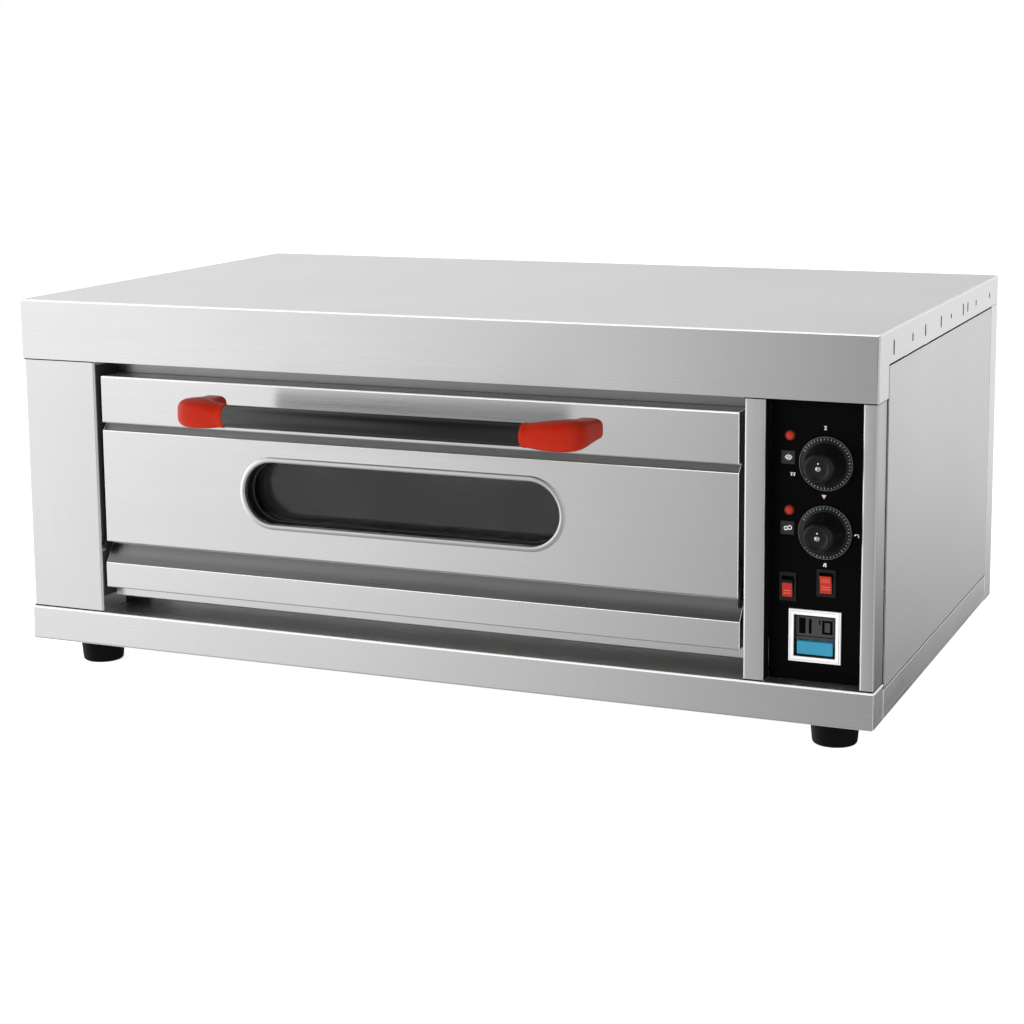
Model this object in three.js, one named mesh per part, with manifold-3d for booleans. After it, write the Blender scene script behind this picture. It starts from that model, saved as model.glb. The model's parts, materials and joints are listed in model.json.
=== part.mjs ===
// Single-deck electric bakery oven: a folded sheet-metal cabinet around an insulated baking
// chamber, a drop-down door with a window and a bar handle, and a control column on the right.
//
// Millimetres. While it is built, x runs to the right, y runs back from the hood's front face
// and z runs up from the floor. The finished group is moved along y so that its origin lies
// under the middle of the whole oven, handle and cable gland included.

import * as THREE from "three";
import { mergeVertices } from "three/addons/utils/BufferGeometryUtils.js";
import Module from "manifold-3d";

// ---------------------------------------------------------------- driving dimensions

const WIDTH = 1220;
const DEPTH = 740;
const HEIGHT = 529;
const FOOT_HEIGHT = 42;

const SHEET = 1.2; // outer and chamber sheet metal
const LINER_SHEET = 2;
const BEND = 3; // outside radius of the cabinet's folded edges
const FIT = 0.3; // clearance between pieces that touch
const SEAM = 0.8; // visible joint between outer panels
const JOIN = 0.5; // overlap of two shapes that are joined into one piece
const THROUGH = 5; // how far a cutting shape passes each side of its sheet
const SPARE = 40; // extra length of a shape that is trimmed afterwards

const PLINTH_TOP = 90;
const LEDGE_DEPTH = 97;
const HOOD_BOTTOM = 446;
const HOOD_SIDE_BOTTOM = 487.5;
const BASE_SIDE_TOP = 81;
const CORNER_RETURN = 49; // how far the front pieces wrap around the sides
const REAR_RETURN = 47;
const SOFFIT_DEPTH = 51.5;
const SOFFIT_INSET = 12; // the soffit's rear lip stops this far from the hood's sides
const KICK_HEIGHT = 30; // the plate that rises at the rear of the plinth's ledge
const PAN_LIP = 10; // overlap of the base pan's rear floor
const VENT_HEIGHT = 505.5;
const VENT_WIDTH = 6;
const VENTS = [
  { y: 72, length: 19 },
  { y: 174, length: 11 },
  { y: 247, length: 16 },
  { y: 341, length: 16 },
  { y: 405, length: 7 },
  { y: 485, length: 17 },
  { y: 516, length: 14 },
  { y: 574, length: 9 },
  { y: 674, length: 9 },
];
const LOUVRES = { x: 470, z: 330, width: 44, height: 5, across: 60, up: 18, columns: 2, rows: 6 };

const POST_FACE = 4; // the posts' faces lie this far behind the hood's face
const POST_RETURN = 62;
const SIDE_INSET = 1.5;
const PILLAR = { left: -WIDTH / 2 + SIDE_INSET, right: -492.7 };
const POST = { left: 442.8, right: 469.8 };
const STILE = { left: 590, right: WIDTH / 2 - SIDE_INSET };

const CHAMBER = { left: -455, right: 405, front: 53.5, rear: 700, floor: 150, roof: 404 };
const MOUTH_FACE = 52;
const MOUTH_FRAME = { left: -491, right: 441.5, margin: 2 };
const DECK_TOP = 212;
const DECK_THICKNESS = 4;
const BLANKET = 30; // insulation thickness
const WOOL_GAP = 2; // between a blanket and the metal beside it
const COMPARTMENT_WALL = 442.8;

const HEATER_RADIUS = 6;
const HEATER_BEND = 80;
const HEATER_LEFT = -340;
const HEATER_TERMINAL = 456;
const UPPER_HEATER = 388;
const LOWER_HEATER = 180;
const FRONT_HEATER = 210;
const REAR_HEATER = 540;

const SILL = {
  left: -487.5,
  right: 437.5,
  lip: 28, // how far back the slope ends
  face: 8,
  top: 186,
  stripTop: 161,
  stripBottom: 125.5,
};
const SILL_BAND = { face: 31, bottom: 108.5 };

const DOOR = { left: -485, right: 435, front: 8, rear: 50, bottom: 191, top: 425.6 };
const GROOVE = { top: 360, bottom: 349, depth: 12 };
const DOOR_BEND = 2;
const PIVOT = { y: 14, z: 186 };
const PIN_RADIUS = 5;
const PIN_TIP = 14; // how far each pin reaches past its arm
const HINGE_ARM = { thickness: 2.7, radius: 8, height: 46, lean: 14 };

const WINDOW = { x: -31.5, z: 278, width: 459, height: 85, rim: 7.5, lip: 1.5, sleeveEnd: 45 };
const OUTER_GLASS = [30, 34];
const INNER_GLASS = [45.4, DOOR.rear - LINER_SHEET - FIT];
const LINER_INSET = 10; // the liner's window is this much smaller on every side

const HANDLE = { x: -33, z: 394, halfTube: 211, radius: 15, wall: 1.5, standoff: 72 };
const HANDLE_END = {
  reach: 79, // from the tube's end to the far side
  root: 38, // width where it stands on the door
  straight: 26, // where the bend begins, from the tube's end
  shoulder: 26, // where the bend is complete, behind the tube's axis
  tubeHalf: 16, // half height at the tube
  bendHalf: 19.5, // half height at the bend
  tipHalf: 9, // half height at the far side
  tallest: 46, // where it is tallest, from the tube's end
  nose: 16, // how far it stands in front of the tube's axis
};

const PANEL_FACE = 25;
const PANEL_THICKNESS = 1.2;
const LAMP = { x: 495, radius: 5.75, stem: 4, reach: 5, tail: 12 };
const UPPER_ROW = 365.8; // height of the upper thermostat's axis
const LOWER_ROW = 280.3;
const LAMP_RISE = { upper: 32.5, lower: 25 };
const KNOB = { x: 540.5, skirt: 34, hub: 26, cap: 17, length: 41, shaft: 3, tail: 15 };
const THERMOSTAT = { half: 23, gap: 2, depth: 40, socket: 18 };
const SWITCHES = {
  left: { x: 494.2, z: 209, width: 20.7, height: 36.3, key: 14.5 },
  right: { x: 542.8, z: 216.8, width: 24, height: 34, key: 16.5 },
};
const SWITCH = { flange: 2.5, wall: 1, bodyHalf: 14.7, depth: 20, pocketHalf: 13.4, pocketDepth: 6.5 };
const ROCKER = { half: 11.5, tip: 7, dip: 5.5, back: 3, backHalf: 8, pivot: 1, tilt: 10 };
const TIMER = { x: 529.2, z: 148.5, size: 66, opening: 53, reach: 4, pocket: 9, body: 60, tail: 55 };
const TIMER_KEY = { width: 46, height: 17.2, z: 132.9, reach: 1.5, depth: 7.5 };
const TIMER_SCREEN = { bottom: 143, depth: 2.2, thickness: 1.5 };
const CONTACTOR = { x: [470, 540], y: [300, 390], height: 80 };
const TERMINALS = { x: [490, 590], y: [640, 680], height: 32 };

const FOOT = { x: 543, inset: 75, topRadius: 32.5, soleRadius: 28.5 };
const GLAND = { x: 540, z: 112, radius: 14, neck: 10, reach: 22 };

const ROUND_STEPS = 28; // facets around a knob, foot or tube
const SMALL_STEPS = 14;
const HEATER_STEPS = 10;
const BEND_STEPS = 3;
const HAIRPIN_STEPS = 8;

// ---------------------------------------------------------------- materials

const finish = (color, roughness, metalness, more = {}) =>
  new THREE.MeshStandardMaterial({ color, roughness, metalness, ...more });

const STEEL = finish(0xc9c9c7, 0.38, 1);
const DARK_STEEL = finish(0x5c5c5b, 0.5, 1);
const HEATER_STEEL = finish(0x6b6763, 0.45, 1);
const WOOL = finish(0xd8d2bd, 0.95, 0);
const BLACK_PAINT = finish(0x101010, 0.35, 0);
const BLACK_PLASTIC = finish(0x161616, 0.4, 0);
const RED_PLASTIC = finish(0xc03a24, 0.35, 0);
const RED_LENS = finish(0xd23420, 0.25, 0);
const BLUE_PLASTIC = finish(0x2f9dc0, 0.4, 0);
const PALE_PLASTIC = finish(0xe6e6e4, 0.35, 0);
const GREY_PLASTIC = finish(0x4a4a4a, 0.4, 0);
const RUBBER = finish(0x151515, 0.8, 0);
const GLASS = finish(0x303234, 0.05, 0, { transparent: true, opacity: 0.4 });

// ---------------------------------------------------------------- solids

const wasm = await Module();
wasm.setup();

function toSolid(geometry) {
  const bare = geometry.clone();
  bare.deleteAttribute("normal");
  bare.deleteAttribute("uv");
  const merged = mergeVertices(bare, 1e-3);
  return new wasm.Manifold(
    new wasm.Mesh({
      numProp: 3,
      vertProperties: merged.attributes.position.array,
      triVerts: new Uint32Array(merged.index.array),
    }),
  );
}

function toGeometry(solid) {
  const { vertProperties, triVerts } = solid.getMesh();
  const geometry = new THREE.BufferGeometry();
  geometry.setAttribute("position", new THREE.BufferAttribute(vertProperties, 3));
  geometry.setIndex(new THREE.BufferAttribute(triVerts, 1));
  geometry.computeVertexNormals();
  return geometry;
}

function join(first, ...others) {
  return toGeometry(others.reduce((sum, other) => sum.add(toSolid(other)), toSolid(first)));
}

function cut(first, ...tools) {
  return toGeometry(tools.reduce((rest, tool) => rest.subtract(toSolid(tool)), toSolid(first)));
}

function common(first, ...others) {
  return toGeometry(others.reduce((both, other) => both.intersect(toSolid(other)), toSolid(first)));
}

// ---------------------------------------------------------------- shapes

function block([x0, x1], [y0, y1], [z0, z1]) {
  return new THREE.BoxGeometry(x1 - x0, y1 - y0, z1 - z0).translate(
    (x0 + x1) / 2,
    (y0 + y1) / 2,
    (z0 + z1) / 2,
  );
}

function extrude(shape, depth) {
  return new THREE.ExtrudeGeometry(shape, { depth, bevelEnabled: false, curveSegments: 10 });
}

// A side profile drawn in (y, z), run along x.
function alongX(shape, [x0, x1]) {
  const turned = new THREE.Matrix4().makeBasis(
    new THREE.Vector3(0, 1, 0),
    new THREE.Vector3(0, 0, 1),
    new THREE.Vector3(1, 0, 0),
  );
  return extrude(shape, x1 - x0).applyMatrix4(turned).translate(x0, 0, 0);
}

// A front outline drawn in (x, z), run along y.
function alongY(shape, [y0, y1]) {
  return extrude(shape, y1 - y0).rotateX(Math.PI / 2).translate(0, y1, 0);
}

// A plan drawn in (x, y), run along z.
function alongZ(shape, [z0, z1]) {
  return extrude(shape, z1 - z0).translate(0, 0, z0);
}

function polygon(...points) {
  return new THREE.Shape(points.map(([u, v]) => new THREE.Vector2(u, v)));
}

function roundedRectangle([u0, u1], [v0, v1], radius) {
  const shape = new THREE.Shape();
  shape.absarc(u1 - radius, v0 + radius, radius, -Math.PI / 2, 0);
  shape.absarc(u1 - radius, v1 - radius, radius, 0, Math.PI / 2);
  shape.absarc(u0 + radius, v1 - radius, radius, Math.PI / 2, Math.PI);
  shape.absarc(u0 + radius, v0 + radius, radius, Math.PI, 1.5 * Math.PI);
  const points = shape.getPoints(BEND_STEPS);
  return new THREE.Shape(points);
}

// A slot-shaped outline with full round ends, centred on the window.
function windowOutline(grow) {
  const radius = WINDOW.height / 2 + grow;
  const half = WINDOW.width / 2 + grow - radius;
  const shape = new THREE.Shape();
  shape.absarc(WINDOW.x + half, WINDOW.z, radius, -Math.PI / 2, Math.PI / 2);
  shape.absarc(WINDOW.x - half, WINDOW.z, radius, Math.PI / 2, 1.5 * Math.PI);
  return shape;
}

// A block whose twelve edges are rounded, as the common part of three rounded prisms.
function roundedBlock(xs, ys, zs, radius) {
  return common(
    alongX(roundedRectangle(ys, zs, radius), xs),
    alongY(roundedRectangle(xs, zs, radius), ys),
    alongZ(roundedRectangle(xs, ys, radius), zs),
  );
}

function leftNormal(direction) {
  return new THREE.Vector2(-direction.y, direction.x);
}

function directions(points) {
  return points.slice(1).map((point, i) => point.clone().sub(points[i]).normalize());
}

// The same line moved sideways by a distance, to the left of its own direction.
function offsetLine(points, distance) {
  const along = directions(points);
  return points.map((point, i) => {
    const before = leftNormal(along[Math.max(i - 1, 0)]);
    const after = leftNormal(along[Math.min(i, along.length - 1)]);
    const mitre = before.clone().add(after).divideScalar(1 + before.dot(after));
    return point.clone().addScaledVector(mitre, distance);
  });
}

// The line with each corner replaced by an arc; left and right turns have their own radius.
function roundLine(points, leftRadius, rightRadius) {
  const along = directions(points);
  const result = [points[0]];
  for (let i = 1; i < points.length - 1; i++) {
    const turn = Math.atan2(along[i - 1].cross(along[i]), along[i - 1].dot(along[i]));
    const radius = turn > 0 ? leftRadius : rightRadius;
    const start = points[i].clone().addScaledVector(along[i - 1], -radius * Math.tan(Math.abs(turn) / 2));
    const centre = start.clone().addScaledVector(leftNormal(along[i - 1]), Math.sign(turn) * radius);
    for (let step = 0; step <= BEND_STEPS; step++) {
      result.push(start.clone().rotateAround(centre, (turn * step) / BEND_STEPS));
    }
  }
  result.push(points[points.length - 1]);
  return result;
}

// The cross-section of a bent sheet. The corners run along its outer face, with the metal on
// the left of that line.
function bentSheet(corners, thickness = SHEET, radius = BEND) {
  const outer = corners.map(([u, v]) => new THREE.Vector2(u, v));
  const inner = offsetLine(outer, thickness);
  const inside = radius - thickness;
  return new THREE.Shape([
    ...roundLine(outer, radius, inside),
    ...roundLine(inner, inside, radius).reverse(),
  ]);
}

// A folded tray with closed ends, open at the back. The corners run from the rear of its upper
// side round the front to the rear of its lower side.
function foldedTray(corners, [x0, x1], radius) {
  const outer = corners.map(([y, z]) => new THREE.Vector2(y, z));
  const inner = roundLine(offsetLine(outer, SHEET), radius - SHEET, radius);
  const behind = (point) => point.clone().add(new THREE.Vector2(2 * DEPTH, 0));
  const hollow = new THREE.Shape([behind(inner[0]), ...inner, behind(inner[inner.length - 1])]);
  const solid = new THREE.Shape(roundLine(outer, radius, radius - SHEET));
  return cut(alongX(solid, [x0, x1]), alongX(hollow, [x0 + SHEET, x1 - SHEET]));
}

// A body of revolution about a line along y through (x, z). The profile is a closed loop of
// [radius, y] corners that starts and ends on the axis.
function turnedY(profile, x, z, steps = ROUND_STEPS) {
  const points = profile.map(([radius, y]) => new THREE.Vector2(radius, y));
  return new THREE.LatheGeometry(points, steps).translate(x, 0, z);
}

function rodAlong(axis, radius, from, to, steps = ROUND_STEPS) {
  const rod = new THREE.CylinderGeometry(radius, radius, to - from, steps);
  const middle = (from + to) / 2;
  if (axis === "x") {
    return rod.rotateZ(Math.PI / 2).translate(middle, 0, 0);
  }
  return rod.translate(0, middle, 0);
}

// ---------------------------------------------------------------- assembly

const oven = new THREE.Group();
const assembly = new THREE.Group();
oven.add(assembly);

function add(name, geometry, material) {
  const mesh = new THREE.Mesh(geometry, material);
  mesh.name = name;
  assembly.add(mesh);
}

const SIDE = WIDTH / 2;
const ALL_X = [-SIDE - THROUGH, SIDE + THROUGH];
const ALL_Y = [-THROUGH, DEPTH + THROUGH];

// ---------------------------------------------------------------- outer skins

function ventSlot({ y, length }) {
  const half = VENT_WIDTH / 2;
  const outline = roundedRectangle(
    [y - half, y + half],
    [VENT_HEIGHT - length / 2, VENT_HEIGHT + length / 2],
    half - FIT,
  );
  return alongX(outline, ALL_X);
}

// The hood starts as one closed box, which is hollowed and trimmed to its two lower edges. A
// soffit closes the front from below.
function topCover() {
  const underside = HOOD_BOTTOM - 2 * SPARE;
  const outer = roundedBlock([-SIDE, SIDE], [0, DEPTH], [HOOD_BOTTOM - SPARE, HEIGHT], BEND);
  const inner = roundedBlock(
    [-SIDE + SHEET, SIDE - SHEET],
    [SHEET, DEPTH - SHEET],
    [underside, HEIGHT - SHEET],
    BEND - SHEET,
  );
  const belowFascia = block(ALL_X, ALL_Y, [underside, HOOD_BOTTOM]);
  const belowSides = block(ALL_X, [CORNER_RETURN, DEPTH + THROUGH], [underside, HOOD_SIDE_BOTTOM]);
  const soffit = block(
    [-SIDE + SHEET / 2, SIDE - SHEET / 2],
    [SHEET / 2, SOFFIT_DEPTH],
    [HOOD_BOTTOM, HOOD_BOTTOM + SHEET],
  );
  const behindSoffit = block(
    ALL_X,
    [CORNER_RETURN, SOFFIT_DEPTH + SHEET],
    [HOOD_BOTTOM - SHEET, HOOD_BOTTOM + 2 * SHEET],
  );
  const rearLip = block(
    [-SIDE + SOFFIT_INSET, SIDE - SOFFIT_INSET],
    [CORNER_RETURN - SHEET, SOFFIT_DEPTH],
    [HOOD_BOTTOM, HOOD_BOTTOM + SHEET],
  );
  const hood = join(cut(outer, inner, belowFascia, belowSides), soffit);
  return join(cut(hood, behindSoffit, ...VENTS.map(ventSlot)), rearLip);
}

function frontPlinth() {
  const bottom = FOOT_HEIGHT;
  const behind = LEDGE_DEPTH + 2 * SPARE;
  const outer = roundedBlock([-SIDE, SIDE], [0, LEDGE_DEPTH + SPARE], [bottom, PLINTH_TOP], BEND);
  const inner = roundedBlock(
    [-SIDE + SHEET, SIDE - SHEET],
    [SHEET, behind],
    [bottom + SHEET, PLINTH_TOP - SHEET],
    BEND - SHEET,
  );
  const behindCorners = block(ALL_X, [CORNER_RETURN, behind], [bottom - SHEET, PLINTH_TOP - SHEET]);
  const behindLedge = block(ALL_X, [LEDGE_DEPTH, behind], [bottom, PLINTH_TOP + SHEET]);
  const ledgeEnds = [-1, 1].map((side) =>
    block(
      [side * SIDE - BEND, side * SIDE + BEND],
      [CORNER_RETURN, LEDGE_DEPTH + SHEET],
      [bottom, PLINTH_TOP + SHEET],
    ),
  );
  const kickPlate = block(
    [-SIDE + 2 * BEND, SIDE - 2 * BEND],
    [LEDGE_DEPTH - SHEET, LEDGE_DEPTH],
    [PLINTH_TOP - SHEET, PLINTH_TOP + KICK_HEIGHT],
  );
  return join(cut(outer, inner, behindCorners, behindLedge, ...ledgeEnds), kickPlate);
}

const PANEL_FRONT = CORNER_RETURN + SEAM;
const PANEL_REAR = DEPTH - REAR_RETURN - SEAM;

function basePan() {
  const tray = bentSheet([
    [-SIDE, BASE_SIDE_TOP],
    [-SIDE, FOOT_HEIGHT],
    [SIDE, FOOT_HEIGHT],
    [SIDE, BASE_SIDE_TOP],
  ]);
  const rearFloor = block(
    [-SIDE + 2 * BEND, SIDE - 2 * BEND],
    [PANEL_REAR - PAN_LIP, DEPTH - SHEET - FIT],
    [FOOT_HEIGHT, FOOT_HEIGHT + SHEET],
  );
  return join(alongY(tray, [PANEL_FRONT, PANEL_REAR]), rearFloor);
}

function sidePanel(side) {
  const face = side * SIDE;
  const back = side * (SIDE - SHEET);
  return block(
    [Math.min(face, back), Math.max(face, back)],
    [PANEL_FRONT, PANEL_REAR],
    [BASE_SIDE_TOP + SEAM, HOOD_SIDE_BOTTOM - SEAM],
  );
}

function rearPanel() {
  const section = bentSheet([
    [SIDE, DEPTH - REAR_RETURN],
    [SIDE, DEPTH],
    [-SIDE, DEPTH],
    [-SIDE, DEPTH - REAR_RETURN],
  ]);
  const throughRear = [DEPTH - THROUGH, DEPTH + THROUGH];
  const slots = [];
  for (let column = 0; column < LOUVRES.columns; column++) {
    for (let row = 0; row < LOUVRES.rows; row++) {
      const x = LOUVRES.x + column * LOUVRES.across;
      const z = LOUVRES.z + row * LOUVRES.up;
      slots.push(block([x, x + LOUVRES.width], throughRear, [z, z + LOUVRES.height]));
    }
  }
  const glandHole = rodAlong("y", GLAND.neck + FIT, ...throughRear).translate(GLAND.x, 0, GLAND.z);
  return cut(alongZ(section, [FOOT_HEIGHT, HOOD_SIDE_BOTTOM - SEAM]), glandHole, ...slots);
}

// ---------------------------------------------------------------- posts and front frame

const POST_HEIGHT = [PLINTH_TOP + SEAM, HOOD_BOTTOM - SEAM];

function pinHole(x) {
  return rodAlong("x", PIN_RADIUS + FIT, x - THROUGH, x + THROUGH).translate(0, PIVOT.y, PIVOT.z);
}

function leftPillar() {
  const section = bentSheet([
    [PILLAR.right, POST_RETURN],
    [PILLAR.right, POST_FACE],
    [PILLAR.left, POST_FACE],
    [PILLAR.left, CORNER_RETURN - 1],
  ].reverse());
  return cut(alongZ(section, POST_HEIGHT), pinHole(PILLAR.right));
}

function dividerPost() {
  const section = bentSheet([
    [POST.left, POST_RETURN],
    [POST.left, POST_FACE],
    [POST.right, POST_FACE],
    [POST.right, PANEL_FACE - SEAM],
  ]);
  return cut(alongZ(section, POST_HEIGHT), pinHole(POST.left));
}

function rightStile() {
  const section = bentSheet([
    [STILE.left, PANEL_FACE - SEAM],
    [STILE.left, POST_FACE],
    [STILE.right, POST_FACE],
    [STILE.right, CORNER_RETURN - 1],
  ]);
  return alongZ(section, POST_HEIGHT);
}

function mouthFrame() {
  const face = block(
    [MOUTH_FRAME.left, MOUTH_FRAME.right],
    [MOUTH_FACE, MOUTH_FACE + SHEET],
    [SILL.top + JOIN, HOOD_BOTTOM - MOUTH_FRAME.margin],
  );
  const mouth = block([CHAMBER.left, CHAMBER.right], ALL_Y, [DECK_TOP, CHAMBER.roof]);
  return cut(face, mouth);
}

function doorSill() {
  const rear = MOUTH_FACE - SEAM;
  const corners = [
    [rear, SILL.top],
    [SILL.lip, SILL.top],
    [SILL.face, SILL.stripTop],
    [SILL.face, SILL.stripBottom],
    [SILL_BAND.face, SILL.stripBottom],
    [SILL_BAND.face, SILL_BAND.bottom],
    [rear, SILL_BAND.bottom],
  ];
  return foldedTray(corners, [SILL.left, SILL.right], DOOR_BEND);
}

// ---------------------------------------------------------------- baking chamber

const HEATER_LEGS = [FRONT_HEATER, REAR_HEATER].flatMap((y) => [y - HEATER_BEND, y + HEATER_BEND]);

function heaterHole(y, z) {
  const [from, to] = [CHAMBER.right - THROUGH, HEATER_TERMINAL + THROUGH];
  return rodAlong("x", HEATER_RADIUS + FIT, from, to, HEATER_STEPS).translate(0, y, z);
}

function heaterHoles() {
  return [UPPER_HEATER, LOWER_HEATER].flatMap((z) => HEATER_LEGS.map((y) => heaterHole(y, z)));
}

const WALL_HEIGHT = [CHAMBER.floor + SHEET + FIT, CHAMBER.roof - FIT];

function chamberWall(x) {
  return block([x, x + SHEET], [CHAMBER.front, CHAMBER.rear - FIT], WALL_HEIGHT);
}

function chamberDeck(z) {
  return block(
    [CHAMBER.left - SHEET, CHAMBER.right + SHEET],
    [CHAMBER.front, CHAMBER.rear + SHEET],
    [z, z + SHEET],
  );
}

// A hairpin element: two legs from the terminals on the right, joined by a half circle.
function heater(y, z) {
  const leg = rodAlong("x", HEATER_RADIUS, HEATER_LEFT, HEATER_TERMINAL, HEATER_STEPS);
  const legs = [-1, 1].map((side) => leg.clone().translate(0, y + side * HEATER_BEND, z));
  const section = new THREE.Shape().absarc(0, 0, HEATER_RADIUS, 0, 2 * Math.PI);
  const halfCircle = new THREE.CatmullRomCurve3(
    Array.from({ length: HAIRPIN_STEPS + 1 }, (_, i) => {
      const angle = Math.PI / 2 + (i * Math.PI) / HAIRPIN_STEPS;
      return new THREE.Vector3(
        HEATER_LEFT + JOIN + HEATER_BEND * Math.cos(angle),
        y + HEATER_BEND * Math.sin(angle),
        z,
      );
    }),
  );
  const bend = new THREE.ExtrudeGeometry(section, {
    extrudePath: halfCircle,
    steps: HAIRPIN_STEPS + 2,
    curveSegments: HEATER_STEPS / 2,
  });
  return join(...legs, bend);
}

// ---------------------------------------------------------------- door

const DOOR_SIDES = [DOOR.left, DOOR.right];

function doorSkin() {
  const rear = DOOR.rear - LINER_SHEET - FIT;
  const corners = [
    [rear, DOOR.top],
    [DOOR.front, DOOR.top],
    [DOOR.front, GROOVE.top],
    [DOOR.front + GROOVE.depth, GROOVE.top],
    [DOOR.front, GROOVE.bottom],
    [DOOR.front, DOOR.bottom],
    [rear, DOOR.bottom],
  ];
  const hole = alongY(windowOutline(SHEET + FIT), ALL_Y);
  return cut(foldedTray(corners, DOOR_SIDES, DOOR_BEND), hole);
}

function doorLiner() {
  const plate = block(DOOR_SIDES, [DOOR.rear - LINER_SHEET, DOOR.rear], [DOOR.bottom, DOOR.top]);
  return cut(plate, alongY(windowOutline(-LINER_INSET), ALL_Y));
}

function doorInsulation() {
  const gap = 2 * SHEET;
  const slab = block(
    [DOOR.left + gap, DOOR.right - gap],
    [DOOR.front + GROOVE.depth + 2 * gap, DOOR.rear - LINER_SHEET - FIT],
    [DOOR.bottom + gap, DOOR.top - gap],
  );
  return cut(slab, alongY(windowOutline(2 * SHEET), ALL_Y));
}

function windowBezel() {
  const face = DOOR.front - FIT;
  const rim = alongY(windowOutline(WINDOW.rim), [face - WINDOW.lip, face]);
  const sleeve = alongY(windowOutline(SHEET), [face - JOIN, WINDOW.sleeveEnd]);
  return cut(join(rim, sleeve), alongY(windowOutline(0), ALL_Y));
}

// The handle bracket: an arm that leaves the tube's end, turns back and stands on the door.
function handleEnd(side) {
  const axis = DOOR.front - HANDLE.standoff;
  const foot = DOOR.front - FIT;
  const { reach, root, straight, shoulder, tubeHalf, bendHalf, tipHalf, tallest, nose } = HANDLE_END;
  const inside = reach - root;
  const plan = new THREE.Shape();
  plan.moveTo(0, axis - nose);
  plan.lineTo(straight, axis - nose);
  plan.bezierCurveTo(reach - nose, axis - nose, reach, axis - nose / 2, reach, axis + shoulder);
  plan.lineTo(reach, foot);
  plan.lineTo(inside, foot);
  plan.bezierCurveTo(inside, axis + 2 * nose, inside - nose / 2, axis + nose, 0, axis + nose);
  const elevation = new THREE.Shape();
  elevation.moveTo(0, -tubeHalf);
  elevation.bezierCurveTo(tallest / 2, -tubeHalf, tallest / 2, -bendHalf, tallest, -bendHalf);
  elevation.bezierCurveTo(reach - nose / 2, -bendHalf, reach, -bendHalf + nose / 4, reach, -tipHalf);
  elevation.lineTo(reach, tipHalf);
  elevation.bezierCurveTo(reach, bendHalf - nose / 4, reach - nose / 2, bendHalf, tallest, bendHalf);
  elevation.bezierCurveTo(tallest / 2, bendHalf, tallest / 2, tubeHalf, 0, tubeHalf);
  const body = common(
    alongZ(plan, [-bendHalf, bendHalf]),
    alongY(elevation, [axis - nose - THROUGH, DOOR.front]),
  );
  const placed = body.translate(HANDLE.halfTube + FIT, 0, HANDLE.z);
  if (side < 0) {
    placed.scale(-1, 1, 1);
    placed.setIndex(new THREE.BufferAttribute(placed.index.array.slice().reverse(), 1));
  }
  return placed.translate(HANDLE.x, 0, 0);
}

function handleTube() {
  const { radius, wall, halfTube } = HANDLE;
  const profile = [
    [radius - wall, -halfTube],
    [radius, -halfTube],
    [radius, halfTube],
    [radius - wall, halfTube],
    [radius - wall, -halfTube],
  ];
  return turnedY(profile, 0, 0)
    .rotateZ(-Math.PI / 2)
    .translate(HANDLE.x, DOOR.front - HANDLE.standoff, HANDLE.z);
}

// An arm on the door's end, with the pin that turns in the post beside it.
function doorHinge(side) {
  const edge = side < 0 ? DOOR.left - FIT : DOOR.right + FIT;
  const armFace = edge + side * HINGE_ARM.thickness;
  const { radius, height, lean } = HINGE_ARM;
  const arm = new THREE.Shape();
  arm.absarc(PIVOT.y, PIVOT.z, radius, Math.PI, 2 * Math.PI);
  arm.lineTo(PIVOT.y + lean + radius, PIVOT.z + height);
  arm.lineTo(PIVOT.y + lean - radius, PIVOT.z + height);
  const plate = alongX(arm, [Math.min(edge, armFace), Math.max(edge, armFace)]);
  const tip = armFace + side * PIN_TIP;
  const pin = rodAlong("x", PIN_RADIUS, Math.min(edge, tip), Math.max(edge, tip));
  return join(plate, pin.translate(0, PIVOT.y, PIVOT.z));
}

// ---------------------------------------------------------------- control column

const before = (distance) => PANEL_FACE - distance; // y of a point in front of the panel

function around(x, half) {
  return [x - half, x + half];
}

function switchBody({ x, z, width, height, key }) {
  const { flange, wall, bodyHalf, depth, pocketHalf, pocketDepth } = SWITCH;
  const pocketWidth = key / 2 + JOIN;
  const rim = block(around(x, width / 2), [before(flange), before(FIT)], around(z, height / 2));
  const body = block(around(x, pocketWidth + wall), [before(wall), before(-depth)], around(z, bodyHalf));
  const pocket = block(
    around(x, pocketWidth),
    [before(2 * flange), before(-pocketDepth)],
    around(z, pocketHalf),
  );
  return cut(join(rim, body), pocket);
}

function rocker({ x, z, key }) {
  const { half, tip, dip, back, backHalf, pivot, tilt } = ROCKER;
  const section = polygon([-tip, -half], [back, -backHalf], [back, backHalf], [-tip, half], [-dip, 0]);
  return alongX(section, [x - key / 2, x + key / 2])
    .rotateX(THREE.MathUtils.degToRad(tilt))
    .translate(0, before(-pivot), z);
}

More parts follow.
